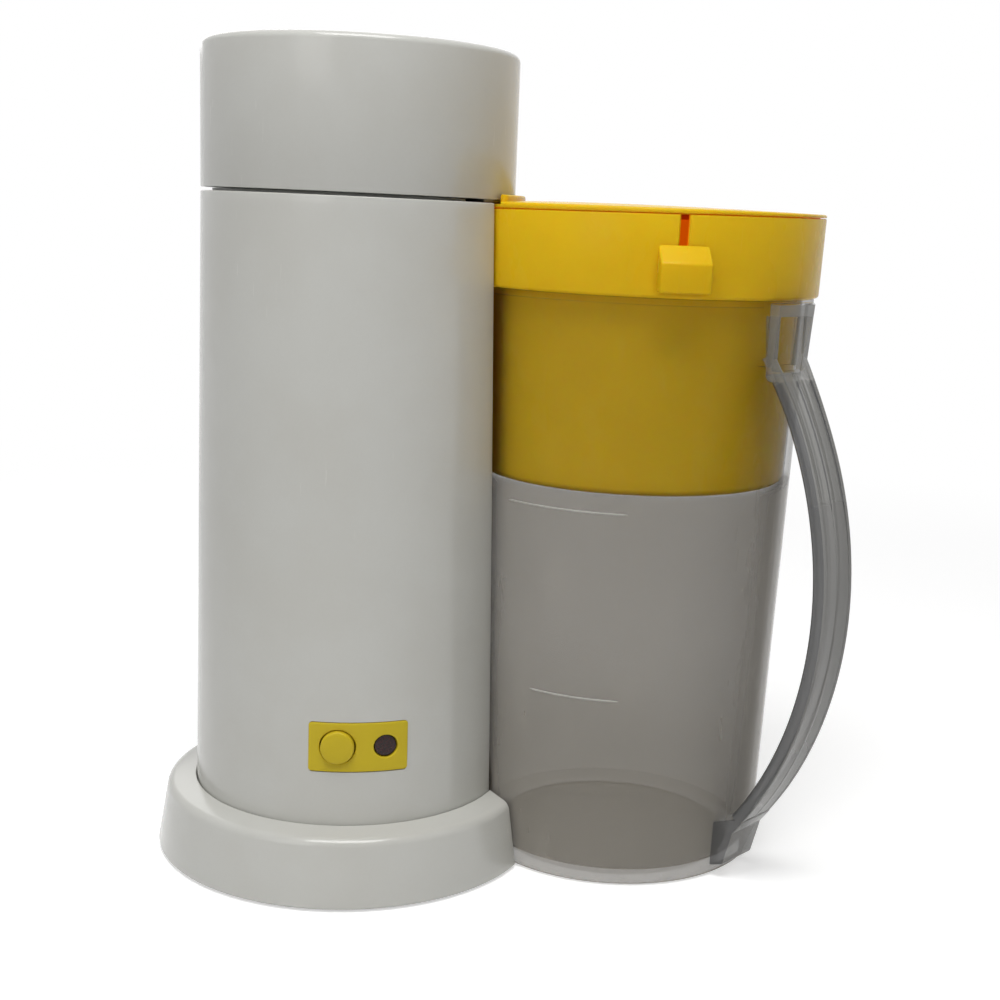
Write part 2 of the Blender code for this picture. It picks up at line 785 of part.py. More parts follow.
def make_screws():
    """Screws that hold the bottom cover to the body's bosses."""
    head_top = COVER_Z - SEAT
    for i, azimuth in enumerate(SCREW_AZIMUTHS):
        corners = [
            (0, head_top + SCREW_L),
            (SCREW_R, head_top + SCREW_L),
            (SCREW_R, head_top),
            (SCREW_HEAD_R, head_top),
            (SCREW_HEAD_R - SEAT * 2, head_top - SCREW_HEAD_H),
            (0, head_top - SCREW_HEAD_H),
        ]
        screw = turned(f"cover_screw_{i + 1}", corners, STEEL, steps=12)
        on_tower(screw, polar(boss_radius(), azimuth))


def make_head():
    """The head: a deep round cap, hinged at the back, that covers the tank and hangs over the pitcher lid."""
    shoulder_z = HEAD_TOP_Z - HEAD_DOME
    inner_top = shoulder_z - WALL
    head = turned(
        "reservoir_lid",
        [
            (0, HEAD_TOP_Z),
            (SHELL_TOP_R / 2, HEAD_TOP_Z - HEAD_DOME / 4),
            (SHELL_TOP_R, shoulder_z, HEAD_FILLET),
            (SHELL_TOP_R, HEAD_BASE_Z),
            (HEAD_IN_R, HEAD_BASE_Z),
            (HEAD_IN_R, inner_top, HEAD_FILLET - WALL),
            (0, inner_top),
        ],
        CREAM,
    )
    move_to(head, (0, -HINGE_Y, -HINGE_Z), parent=HEAD_HINGE)
    half = KNUCKLE_W / 2
    root = SHELL_TOP_R - WALL / 2
    base = HEAD_BASE_Z + SEAT
    web = box("knuckle_web", (-half, root, base), (half, HINGE_Y, HINGE_Z + HINGE_R / 2))
    knuckle = rod("knuckle", HINGE_R - SEAT, (-half, 0, 0), (half, 0, 0))
    hole = rod("knuckle_hole", HINGE_PIN_R + HINGE_PIN_PLAY, (-KNUCKLE_W, 0, 0), (KNUCKLE_W, 0, 0))
    on_tower(web)
    move_to(knuckle, parent=HEAD_HINGE)
    move_to(hole, parent=HEAD_HINGE)
    join(head, web, knuckle)
    cut(head, hole)
    half_pin = KNUCKLE_W / 2 + LUG_GAP + LUG_W
    pin = rod("lid_hinge_pin", HINGE_PIN_R, (-half_pin, 0, 0), (half_pin, 0, 0), STEEL)
    move_to(pin, parent=HEAD_HINGE)
    return head


def make_panel():
    """The curved control panel, with a flange behind the body's wall and a cradle for the switch."""
    low, high = PANEL_Z - PANEL_H / 2, PANEL_Z + PANEL_H / 2
    inner = panel_back_r()
    face = on_tower(
        turned("panel_face", [(panel_r(high), high), (panel_r(low), low), (inner, low), (inner, high)])
    )
    keep_inside(face, panel_window("panel_outline", 0))
    rim_low, rim_high = low - PANEL_FLANGE, high + PANEL_FLANGE
    outer = shell_r(rim_high) - WALL - PANEL_BACK
    rim = [(outer, rim_high), (outer, rim_low), (inner, rim_low), (inner, rim_high)]
    panel = on_tower(turned("control_panel", rim, YELLOW))
    keep_inside(panel, panel_window("panel_rim_outline", PANEL_FLANGE))
    join(panel, face)
    for side in (-1, 1):
        join(panel, cradle_rail(side))
    cut(panel, control_rod("button_hole", BUTTON_AZIMUTH, BUTTON_Z, BUTTON_R + SEAT, -WALL * 4, OVERRUN))
    cut(panel, control_rod("lens_hole", LENS_AZIMUTH, LENS_Z, LENS_R + SEAT, -WALL * 4, OVERRUN))
    return panel


def panel_back_r():
    """The radius of the panel's back, behind its flange."""
    return shell_r(PANEL_Z + PANEL_H / 2 + PANEL_FLANGE) - WALL - PANEL_BACK - PANEL_FLANGE_T


def cradle_rail(side):
    """One of the two rails behind the panel that hold the switch from above and below."""
    near = panel_back_r() + PANEL_FLANGE_T / 2
    gap = SWITCH_SIDE / 2 + SEAT
    low, high = sorted((side * gap, side * (gap + CRADLE_T)))
    far = switch_front() - SWITCH_L / 2
    rail = box(f"cradle_{side}", (far, -CRADLE_W / 2, low), (near, CRADLE_W / 2, high))
    return on_tower(rail, (0, 0, BUTTON_Z), Matrix.Rotation(BUTTON_AZIMUTH, 4, "Z"))


def control_rod(name, azimuth, z, radius, inwards, outwards, look=None, steps=20):
    """A round bar along a control's axis, between two distances from the panel's face."""
    face = panel_r(z)
    start, end = polar(face + inwards, azimuth, z), polar(face + outwards, azimuth, z)
    return on_tower(rod(name, radius, start, end, look, steps=steps))


def behind_panel(radius):
    """How far out a flat disc of the given radius can lie behind the panel's curved back."""
    return sqrt((panel_back_r() * cos(pi / STEPS)) ** 2 - radius**2) - SEAT


def switch_front():
    """The distance from the tower's axis to the switch's front, behind the button's flange at full travel."""
    return behind_panel(BUTTON_R + BUTTON_FLANGE) - BUTTON_FLANGE - BUTTON_TRAVEL - SWITCH_GAP


def make_button():
    """The push button, the plunger that it drives, and the switch."""
    back = behind_panel(BUTTON_R + BUTTON_FLANGE) - panel_r(BUTTON_Z)
    button = control_rod(
        "brew_button", BUTTON_AZIMUTH, BUTTON_Z, BUTTON_R, back - BUTTON_FLANGE / 2, BUTTON_PROUD, YELLOW, 28
    )
    soften(button, BUTTON_EDGE)
    flange_r = BUTTON_R + BUTTON_FLANGE
    rear = back - BUTTON_FLANGE
    join(button, control_rod("button_flange", BUTTON_AZIMUTH, BUTTON_Z, flange_r, rear, back, steps=28))
    front = back - BUTTON_FLANGE - SEAT
    control_rod("switch_plunger", BUTTON_AZIMUTH, BUTTON_Z, PLUNGER_R, front - PLUNGER_L, front, CREAM, 12)
    near = switch_front()
    half = SWITCH_SIDE / 2
    switch = box("brew_switch", (near - SWITCH_L, -half, -half), (near, half, half), RUBBER)
    on_tower(switch, (0, 0, BUTTON_Z), Matrix.Rotation(BUTTON_AZIMUTH, 4, "Z"))
    well = front - PLUNGER_L - BUTTON_TRAVEL - SEAT
    return cut(
        switch, control_rod("plunger_well", BUTTON_AZIMUTH, BUTTON_Z, PLUNGER_R + SEAT, well, OVERRUN, steps=12)
    )


def make_lens():
    """The indicator's lens, flanged behind the panel, and the lamp that lights it."""
    flange_r = LENS_R + BUTTON_FLANGE
    back = behind_panel(flange_r) - panel_r(LENS_Z)
    rear = back - BUTTON_FLANGE / 2
    lens = control_rod("indicator_lens", LENS_AZIMUTH, LENS_Z, LENS_R, rear, -LENS_INSET, RED)
    join(lens, control_rod("lens_flange", LENS_AZIMUTH, LENS_Z, flange_r, back - BUTTON_FLANGE, back))
    front = back - BUTTON_FLANGE - SEAT
    lamp = control_rod("indicator_lamp", LENS_AZIMUTH, LENS_Z, LAMP_R, front - LAMP_L, front, AMBER, 12)
    soften(lamp, LAMP_R / 3)


def tank_r(z):
    top = shell_r(LEDGE_Z) - WALL - LEDGE_W - TANK_GAP
    return between(z, (top - TANK_DRAFT, TANK_BASE_Z), (top, LEDGE_Z))


def heater_spot(azimuth, z=HEATER_Z):
    """A point on the heater's bend, or above it."""
    return Vector((*HEATER_AT, z)) + polar(HEATER_BEND_R, azimuth)


def riser_room(name, grow):
    """The upright room between the tank and the docking hollow, where the riser stands."""
    radius = hollow_r(LEDGE_Z) + WALL + RISER_SPACE + grow
    return on_pitcher(rod(name, radius, (0, 0, 0), (0, 0, HEAD_TOP_Z), steps=HIDDEN_STEPS))


def make_tank():
    """The water tank: an open tub hung by a flange, its rim standing up behind the seam, and a nipple."""
    tank = on_tower(
        turned(
            "reservoir_tank",
            [
                (0, TANK_RIM_Z),
                (tank_r(TANK_RIM_Z), TANK_RIM_Z),
                (tank_r(TANK_BASE_Z), TANK_BASE_Z, HEAD_FILLET),
                (0, TANK_BASE_Z),
            ],
            SILICONE,
            HIDDEN_STEPS,
        )
    )
    cut(tank, riser_room("tank_hollow", 0))
    flange_r = shell_r(LEDGE_Z) - WALL - TANK_GAP
    low, high = LEDGE_Z + SEAT, TANK_TOP_Z
    flange = on_tower(rod("tank_flange", flange_r, (0, 0, low), (0, 0, high), steps=STEPS))
    cut(flange, hollow_cutter("flange_hollow", WALL + TANK_GAP))
    riser_hole = rod("riser_hole", TUBE_R + SEAT, (RISER_X, 0, low - OVERRUN), (RISER_X, 0, high + OVERRUN))
    nipple_top = heater_spot(-STUB_AZIMUTH, TANK_BASE_Z + BITE)
    nipple_end = heater_spot(-STUB_AZIMUTH, TANK_BASE_Z - NIPPLE_L)
    nipple = on_tower(rod("tank_nipple", NIPPLE_R, nipple_top, nipple_end))
    inside = on_tower(
        turned(
            "tank_inside",
            [
                (0, TANK_RIM_Z + OVERRUN),
                (tank_r(TANK_RIM_Z + OVERRUN) - TANK_WALL, TANK_RIM_Z + OVERRUN),
                (tank_r(TANK_BASE_Z) - TANK_WALL, TANK_BASE_Z + TANK_WALL, HEAD_FILLET),
                (0, TANK_BASE_Z + TANK_WALL),
            ],
            steps=HIDDEN_STEPS,
        )
    )
    cut(inside, riser_room("tank_inside_hollow", TANK_WALL))
    reach = Vector((0, 0, OVERRUN))
    bore = on_tower(rod("nipple_bore", NIPPLE_BORE_R, nipple_top + reach, nipple_end - reach, steps=12))
    join(tank, flange, nipple)
    return cut(tank, on_tower(riser_hole), inside, bore)


def make_spout():
    """The outlet: a plate that closes the head's overhang from below, with a duct from the riser."""
    low = SEAM_Z + SEAT
    plate_top = low + SPOUT_PLATE
    plate_r = HEAD_IN_R - SEAT * 2
    spout = on_tower(rod("outlet_spout", plate_r, (0, 0, low), (0, 0, plate_top), CREAM, steps=STEPS))
    over = RING_TOP_R + HOLLOW_TOP_GAP + WALL * 2
    keep_inside(spout, on_pitcher(rod("spout_reach", over, (0, 0, 0), (0, 0, HEAD_TOP_Z), steps=STEPS)))
    half = SPOUT_W / 2
    start = RISER_X - TUBE_R - SPOUT_WALL
    end = plate_r - SPOUT_WALL
    duct = on_tower(box("spout_duct", (start, -half, plate_top - BITE), (end, half, plate_top + SPOUT_H)))
    soften(duct, SPOUT_WALL, 2)
    socket_low = (RISER_X, 0, TANK_TOP_Z + SEAT)
    socket_high = (RISER_X, 0, plate_top + SPOUT_H / 2)
    socket = on_tower(rod("spout_socket", TUBE_R + SPOUT_SOCKET_WALL, socket_low, socket_high))
    channel_low = (RISER_X - TUBE_R, SPOUT_WALL - half, plate_top + SPOUT_WALL)
    channel_high = (end - SPOUT_WALL, half - SPOUT_WALL, plate_top + SPOUT_H - SPOUT_WALL)
    channel = on_tower(box("spout_channel", channel_low, channel_high))
    riser_low = (RISER_X, 0, TANK_TOP_Z - OVERRUN)
    riser_high = (RISER_X, 0, plate_top + SPOUT_H / 2)
    riser_room = on_tower(rod("spout_riser_room", TUBE_R + SEAT, riser_low, riser_high))
    outlet_x = plate_r - OUTLET_INSET
    outlet_top = (outlet_x, 0, channel_high[2])
    outlet = on_tower(rod("spout_outlet", OUTLET_R, (outlet_x, 0, low - OVERRUN), outlet_top))
    join(spout, duct, socket)
    return cut(spout, channel, riser_room, outlet)


def make_heating():
    """Tank to pitcher: hose, check valve, hose, horseshoe heater, hose and riser tube."""
    riser_top = SEAM_Z + SEAT + SPOUT_PLATE + SPOUT_WALL
    riser = on_tower(rod("riser_tube", TUBE_R, (RISER_X, 0, RISER_BASE_Z), (RISER_X, 0, riser_top), SILICONE))
    bore_ends = (RISER_X, 0, RISER_BASE_Z - OVERRUN), (RISER_X, 0, riser_top + OVERRUN)
    cut(riser, on_tower(rod("riser_bore", TUBE_BORE_R, *bore_ends, steps=12)))

    sweep = 2 * pi - HEATER_OPENING
    bend = [heater_spot(HEATER_OPENING / 2 + sweep * i / HEATER_STEPS) for i in range(HEATER_STEPS + 1)]
    heater = on_tower(tube("boiler_heater", HEATER_R, bend, ALUMINIUM))
    for azimuth in (STUB_AZIMUTH, -STUB_AZIMUTH):
        stub_top = heater_spot(azimuth, HEATER_STUB_TOP_Z)
        join(heater, on_tower(rod(f"heater_stub_{azimuth:.1f}", TUBE_R, heater_spot(azimuth), stub_top)))

    hot_start = heater_spot(STUB_AZIMUTH, HEATER_STUB_TOP_Z + SEAT)
    hot_end = Vector((RISER_X, 0, RISER_BASE_Z - SEAT))
    lead = Vector((0, 0, (hot_end.z - hot_start.z) / 2))
    straight = lead * HOSE_STRAIGHT_SHARE
    path = bend_path(hot_start + straight, hot_start + lead, hot_end - lead, hot_end - straight)
    on_tower(tube("hot_hose", TUBE_R, [hot_start, *path, hot_end], SILICONE))

    valve_top = heater_spot(-STUB_AZIMUTH, VALVE_TOP_Z)
    valve_base = heater_spot(-STUB_AZIMUTH, VALVE_TOP_Z - VALVE_L)
    valve = on_tower(rod("check_valve", VALVE_R, valve_base, valve_top, SILICONE))
    soften(valve, VALVE_R / 4)
    nipple_end = heater_spot(-STUB_AZIMUTH, TANK_BASE_Z - NIPPLE_L - SEAT)
    gap = Vector((0, 0, SEAT))
    on_tower(rod("tank_hose", TUBE_R, valve_top + gap, nipple_end, SILICONE))
    feed_end = heater_spot(-STUB_AZIMUTH, HEATER_STUB_TOP_Z + SEAT)
    on_tower(rod("feed_hose", TUBE_R, feed_end, valve_base - gap, SILICONE))

    top = HEATER_Z + HEATER_R + SEAT
    low, high = heater_spot(THERMOSTAT_AZIMUTH, top), heater_spot(THERMOSTAT_AZIMUTH, top + THERMOSTAT_H)
    thermostat = on_tower(rod("thermostat", THERMOSTAT_R, low, high, STEEL))
    soften(thermostat, THERMOSTAT_H / 5)
    spot = heater_spot(FUSE_AZIMUTH, top + FUSE_R)
    along = polar(FUSE_L / 2, FUSE_AZIMUTH + pi / 2)
    soften(on_tower(rod("thermal_fuse", FUSE_R, spot - along, spot + along, STEEL, steps=12)), FUSE_R / 3)


def on_handle(obj, place=(0, 0, 0)):
    """Turns a piece from the XZ plane into the handle's plane."""
    turn = Matrix.Rotation(HANDLE_AZIMUTH, 4, "Z")
    return on_pitcher(obj, turn @ Vector(place), turn)


def handle_section():
    """The handle's outline across its path: two side flanges, a thin web and a rib down the middle."""
    half, depth = HANDLE_W / 2, HANDLE_DEPTH / 2
    groove, web = half - HANDLE_FLANGE, HANDLE_WEB / 2
    rib, crest = HANDLE_RIB / 2, HANDLE_RIB_DEPTH / 2
    quarter = [(rib, crest), (rib, web), (groove, web), (groove, depth), (half, depth)]
    upper = [(-x, y) for x, y in reversed(quarter)] + quarter
    return upper + [(-x, -y) for x, y in upper]


def outwards(out, z):
    """A point in the handle's plane, a distance out from the jug's top radius."""
    return Vector((JUG_TOP_R + out, 0, z))


def make_handle():
    """The handle: its section swept along a curve that leaves the wall high up and returns at the foot."""
    section = bpy.data.curves.new("handle_section", "CURVE")
    section.dimensions = "2D"
    spline = section.splines.new("POLY")
    outline = handle_section()
    spline.points.add(len(outline) - 1)
    for spot, point in zip(spline.points, outline):
        spot.co = (*point, 0, 1)
    spline.use_cyclic_u = True
    across = bpy.data.objects.new("handle_across", section)
    CUTTERS.objects.link(across)
    across.hide_render = True

    path = bpy.data.curves.new("handle_path", "CURVE")
    path.dimensions = "3D"
    path.twist_mode = "MINIMUM"
    path.bevel_mode = "OBJECT"
    path.bevel_object = across
    path.use_fill_caps = True
    path.resolution_u = HANDLE_STATIONS
    spline = path.splines.new("BEZIER")
    spline.bezier_points.add(2)
    lift = Vector((0, 0, HANDLE_MID_LEAD))
    top = outwards(HANDLE_TOP_OUT, JUG_RIM_Z - HANDLE_TOP_DROP)
    top_lead = outwards(HANDLE_TOP_LEAD_OUT, JUG_RIM_Z - HANDLE_TOP_LEAD_DROP)
    middle = outwards(HANDLE_MID_OUT, HANDLE_MID_Z)
    low = outwards(HANDLE_LOW_OUT, HANDLE_LOW_Z)
    low_lead = outwards(HANDLE_LOW_LEAD_OUT, HANDLE_LOW_LEAD_Z)
    stations = ((top, top, top_lead), (middle, middle + lift, middle - lift), (low, low_lead, low))
    for knot, (spot, lead_in, lead_out) in zip(spline.bezier_points, stations):
        knot.handle_left_type = knot.handle_right_type = "FREE"
        knot.co = spot
        knot.handle_left = lead_in
        knot.handle_right = lead_out
    return on_handle(from_curve("handle", path, None))


def make_jug():
    """The clear jug: tapered wall, rim, recessed foot, and the handle with its yoke and heel."""
    foot_in_r = jug_r(JUG_FLOOR) - JUG_WALL
    jug = on_pitcher(
        turned(
            "pitcher_jug",
            [
                (RIM_R, JUG_RIM_Z, SEAT),
                (RIM_R, JUG_RIM_Z - RIM_H, SEAT),
                (jug_r(JUG_RIM_Z - RIM_H), JUG_RIM_Z - RIM_H),
                (JUG_FOOT_R, 0, JUG_FOOT_FILLET),
                (JUG_RECESS_R, 0),
                (JUG_RECESS_R - JUG_RECESS, JUG_RECESS),
                (0, JUG_RECESS),
                (0, JUG_RECESS + JUG_FLOOR),
                (foot_in_r, JUG_RECESS + JUG_FLOOR, JUG_FOOT_FILLET),
                (JUG_TOP_R - JUG_WALL, JUG_RIM_Z),
            ],
            CLEAR,
        )
    )
    yoke_back = jug_r(YOKE_LOW_Z) - JUG_WALL / 2
    yoke_r = JUG_TOP_R + YOKE_OUT
    yoke = prism(
        "yoke",
        [
            (yoke_back, YOKE_LOW_Z - HANDLE_DEPTH),
            (yoke_back, YOKE_TOP_Z),
            (yoke_r, YOKE_TOP_Z, YOKE_CAP),
            (yoke_r, YOKE_LOW_Z + HANDLE_DEPTH),
            (yoke_r - YOKE_SIDE, YOKE_LOW_Z),
        ],
        YOKE_W,
    )
    pocket_side = YOKE_W / 2 - YOKE_SIDE
    pocket_back = JUG_TOP_R + YOKE_SKIN
    pocket = box(
        "yoke_pocket",
        (pocket_back, -pocket_side, YOKE_LOW_Z + YOKE_FLOOR),
        (yoke_r + OVERRUN, pocket_side, YOKE_TOP_Z - YOKE_CAP),
    )
    heel_back = JUG_FOOT_R - JUG_WALL / 2
    heel_side = [
        (heel_back, HEEL_ROOT_Z),
        (heel_back, HEEL_BACK_Z),
        outwards(HEEL_TOP_OUT, HEEL_TOP_Z).xz,
        outwards(HEEL_KNEE_OUT, HEEL_KNEE_Z).xz,
        outwards(-HEEL_TOE_IN, HEEL_TOE_Z).xz,
    ]
    heel = prism("heel", heel_side, HEEL_W)
    join(jug, make_handle(), on_handle(heel), on_handle(yoke))
    return cut(jug, on_handle(pocket))


def cup_r(z):
    return jug_r(z) - JUG_WALL - CUP_GAP


def make_basket():
    """The brewing basket: a ring on the jug's rim, a shelf, and a cup with a drained floor."""
    shelf = RING_BASE_Z + RING_FLOOR
    basket = on_pitcher(
        turned(
            "brew_basket",
            [
                (RING_TOP_R, RING_TOP_Z, SEAT),
                (RING_LOW_R, RING_BASE_Z, RING_FILLET),
                (cup_r(RING_BASE_Z), RING_BASE_Z),
                (cup_r(CUP_BASE_Z), CUP_BASE_Z, CUP_FILLET),
                (0, CUP_BASE_Z),
                (0, CUP_FLOOR_Z),
                (cup_r(CUP_FLOOR_Z) - CUP_WALL, CUP_FLOOR_Z, CUP_FILLET - CUP_WALL / 2),
                (cup_r(shelf) - CUP_WALL, shelf),
                (RING_LOW_R - RING_WALL, shelf, RING_FILLET),
                (RING_TOP_R - RING_WALL, RING_TOP_Z),
            ],
            YELLOW,
        )
    )
    slot = box(
        "slot",
        (-SLOT_W / 2, -RING_TOP_R - OVERRUN, SLOT_BASE_Z),
        (SLOT_W / 2, OVERRUN - RING_TOP_R, RING_TOP_Z + OVERRUN),
    )
    cut(basket, on_pitcher(slot))
    port_y = -(cup_r(CUP_FLOOR_Z) - CUP_WALL - GATE_PORT_INSET)
    holes = [("gate_port", GATE_PORT_R, (0, port_y)), ("drain_middle", DRAIN_MIDDLE_R, (0, 0))]
    for ring, count in enumerate(DRAIN_COUNTS, 1):
        for i in range(count):
            spot = polar(DRAIN_SPACING * ring, 2 * pi * i / count)
            holes.append((f"drain_{ring}_{i}", DRAIN_R, spot.xy))
    for name, radius, spot in holes:
        low, high = (*spot, CUP_BASE_Z - OVERRUN), (*spot, CUP_FLOOR_Z + OVERRUN)
        cut(basket, on_pitcher(rod(name, radius, low, high, steps=8)))
    return basket


def make_gate():
    """The strength slider: knob in front, neck through the slot, arm down the cup, tongue over the port."""
    back = -(RING_TOP_R + KNOB_GAP)
    front = back - KNOB_DEPTH
    shelf = RING_BASE_Z + RING_FLOOR
    knob = prism(
        "strength_gate",
        [(back, KNOB_BASE_Z), (back, KNOB_TOP_Z), (front, KNOB_TOP_Z - KNOB_BROW), (front, KNOB_BASE_Z)],
        KNOB_W,
        YELLOW,
    )
    soften(knob, KNOB_BEVEL)
    on_pitcher(knob, turn=Matrix.Rotation(pi / 2, 4, "Z"))
    neck_top = NECK_BASE_Z + NECK_H
    half_neck = SLOT_W / 2 - SEAT
    half_arm = GATE_ARM_W / 2
    outer = RING_LOW_R - RING_WALL - GATE_GAP
    inner = cup_r(CUP_FLOOR_Z) - CUP_WALL - CUP_FILLET
    tongue_z = CUP_FLOOR_Z + SEAT
    shelf_low, shelf_high = shelf + SEAT, shelf + SEAT + GATE_PLATE
    pieces = (
        ("neck", (-half_neck, back - BITE, NECK_BASE_Z), (half_neck, BITE - outer, neck_top)),
        ("arm_top", (-half_arm, -outer, shelf_low), (half_arm, GATE_PLATE - outer, neck_top)),
        ("arm_shelf", (-half_arm, -outer, shelf_low), (half_arm, GATE_PLATE - inner, shelf_high)),
        ("arm", (-half_arm, -inner, tongue_z), (half_arm, GATE_PLATE - inner, shelf_high)),
        ("tongue", (-half_arm, -inner, tongue_z), (half_arm, GATE_TONGUE - inner, tongue_z + GATE_PLATE)),
    )
    for name, low, high in pieces:
        join(knob, on_pitcher(box(name, low, high)))
    return knob


def make_lid():
    """The pitcher lid: a domed disc on the ring, lowered under the head, with a wall that hugs the head."""
    edge_z = LID_BASE_Z + LID_EDGE_H
    dome_z = edge_z + LID_DOME
    disc = [(RING_TOP_R, LID_BASE_Z, SEAT), (0, LID_BASE_Z)]
    dome = [(0, dome_z), (RING_TOP_R / 2, dome_z - LID_DOME / 4), (RING_TOP_R, edge_z, LID_FILLET)]
    lid = on_pitcher(turned("pitcher_lid", dome + disc, YELLOW))
    well = on_tower(
        rod("lid_well", LID_WALL_R + LID_WALL / 2, (0, 0, LID_WELL_Z), (0, 0, HEAD_TOP_Z), steps=STEPS)
    )
    cut(lid, well)
    outer = LID_WALL_R + LID_WALL
    wall = on_tower(
        turned(
            "lid_wall",
            [
                (outer, LID_WALL_TOP_Z, LID_WALL / 3),
                (outer, LID_BASE_Z + SEAT),
                (LID_WALL_R, LID_BASE_Z + SEAT),
                (LID_WALL_R, LID_WALL_TOP_Z, LID_WALL / 3),
            ],
        )
    )
    reach = rod("lid_wall_reach", RING_TOP_R - SEAT, (0, 0, 0), (0, 0, HEAD_TOP_Z), steps=STEPS)
    keep_inside(wall, on_pitcher(reach))
    lip_r = ring_r(LID_BASE_Z - LID_LIP_H) - RING_WALL - LID_LIP_GAP
    lip_low = LID_BASE_Z - LID_LIP_H
    lip = on_pitcher(
        turned(
            "lid_lip",
            [
                (lip_r, LID_BASE_Z + BITE),
                (lip_r, lip_low),
                (lip_r - LID_LIP, lip_low),
                (lip_r - LID_LIP, LID_BASE_Z + BITE),
            ],
        )
    )
    half = LID_LIP_BREAK / 2
    lip_break = box("lip_break", (-half, -RING_TOP_R, lip_low - OVERRUN), (half, 0, LID_BASE_Z - SEAT))
    cut(lip, on_pitcher(lip_break))
    port_x = HEAD_IN_R - SEAT * 2 - OUTLET_INSET
    port = on_tower(rod("lid_port", LID_PORT_R, (port_x, 0, lip_low), (port_x, 0, HEAD_TOP_Z)))
    join(lid, wall, lip)
    return cut(lid, port)


def centre_footprint():
    """Moves the whole object so that the middle of its footprint is the origin."""
    bpy.context.view_layer.update()
    graph = bpy.context.evaluated_depsgraph_get()
    corners = []
    for obj in PARTS.objects:
        if obj.type == "MESH":
            shape = obj.evaluated_get(graph)
            corners += [shape.matrix_world @ Vector(corner) for corner in shape.bound_box]
    middle = [(min(c[i] for c in corners) + max(c[i] for c in corners)) / 2 for i in (0, 1)]
    MAKER.location = (-middle[0], -middle[1], 0)
    print("tower axis at", [round(-value, 6) for value in middle])


make_shell()
make_skirt()
make_cover()
make_feet()
make_screws()
make_gland()
make_head()
make_panel()
make_button()
make_lens()
make_tank()
make_spout()
make_heating()
make_jug()
make_basket()
make_gate()
make_lid()
centre_footprint()
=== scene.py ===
"""Looks of the iced tea maker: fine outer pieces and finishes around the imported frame.

Lengths are in metres, +Z is up. The tower's axis and the pitcher's axis lie on one line along X,
and the controls face -Y. Profiles are (radius, height) points about the axis that they turn on.
"""

import logging
from abc import ABC, abstractmethod
from dataclasses import dataclass
from enum import Enum
from math import acos, atan2, cos, hypot, pi, radians, sin, sqrt, tan
from typing import Callable, Iterable, Sequence, Union

import bmesh
import bpy
from mathutils import Matrix, Vector
from mathutils.geometry import delaunay_2d_cdt


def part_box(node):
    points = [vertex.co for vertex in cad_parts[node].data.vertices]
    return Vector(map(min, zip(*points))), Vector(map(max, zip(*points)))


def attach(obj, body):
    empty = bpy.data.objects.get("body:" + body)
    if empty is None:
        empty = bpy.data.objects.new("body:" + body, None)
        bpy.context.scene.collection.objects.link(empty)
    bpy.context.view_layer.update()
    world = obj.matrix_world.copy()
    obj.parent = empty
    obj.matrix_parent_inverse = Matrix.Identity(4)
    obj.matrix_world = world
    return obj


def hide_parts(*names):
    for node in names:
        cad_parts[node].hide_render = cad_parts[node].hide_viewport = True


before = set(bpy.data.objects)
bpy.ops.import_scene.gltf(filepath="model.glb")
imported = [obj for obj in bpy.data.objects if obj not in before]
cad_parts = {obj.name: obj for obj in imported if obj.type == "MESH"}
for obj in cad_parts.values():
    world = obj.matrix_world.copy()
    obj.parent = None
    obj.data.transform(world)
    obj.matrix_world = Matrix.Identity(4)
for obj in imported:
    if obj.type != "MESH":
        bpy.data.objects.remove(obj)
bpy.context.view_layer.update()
LOG = logging.getLogger("iced_tea_maker")

Piece = bpy.types.Object
Mesh = bmesh.types.BMesh
Colour = tuple[float, float, float]
Corner = Sequence[float]
Loop = list[Vector]

WHITE = (1, 1, 1, 1)
SIDES = ((-1, -1), (1, -1), (1, 1), (-1, 1))  # a rectangle's corners, anticlockwise

# Steps: in a full turn of a large piece, a small one and a hole, and in the fine roundings.
FINE = 192
SMALL = 48
SMALLEST = 24
MOST_ARC_STEPS = 10
EDGE_STEPS = 4
END_STEPS = 8
CHORD = 0.00035  # the length of one step of an arc

# Angles: from which an edge is shaded sharp or is rounded, and up to which a corner is straight.
SHARP = radians(32)
ROUNDED = radians(40)
STRAIGHT = radians(1)

OVERRUN = 0.010  # how far a cutter reaches past what it cuts
SEAT = 0.0003  # the gap between pieces that lie against each other
BITE = 0.0006  # how far joined bodies reach into each other
MERGE = 1e-6  # points closer than this are one
TINY = 1e-9  # a radius below this is zero


class Body(Enum):
    """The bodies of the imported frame."""

    TOWER = "tower"
    HEAD = "head"
    BUTTON = "button"
    PITCHER = "pitcher"
    STRENGTH = "strength"


class Cut(Enum):
    """What a Boolean does."""

    AWAY = "DIFFERENCE"
    TOGETHER = "UNION"


# ---- outlines and meshes


def between(z: float, low: Corner, high: Corner) -> float:
    """Gives the radius of a cone at a height.

    Args:
        z: The height.
        low: The cone's lower (radius, height).
        high: The cone's upper (radius, height).

    Returns:
        The radius at z.
    """
    return low[0] + (high[0] - low[0]) * (z - low[1]) / (high[1] - low[1])


def polar(radius: float, azimuth: float, z: float = 0.0) -> Vector:
    """Gives the point at a radius, azimuth and height about the Z axis."""
    return Vector((radius * cos(azimuth), radius * sin(azimuth), z))


def up(height: float) -> Vector:
    """Gives a step upwards."""
    return Vector((0, 0, height))


def quarter(steps: int) -> list[float]:
    """Gives the angles that part a quarter turn into steps, both ends included."""
    return [pi / 2 * i / steps for i in range(steps + 1)]


def domed(radius: float, top: float, dome: float, steps: int) -> list[Corner]:
    """Gives the corners of a dome of a given height, from its top out to the last one inside its rim."""
    return [(radius * i / steps, top - dome * (i / steps) ** 2) for i in range(steps)]


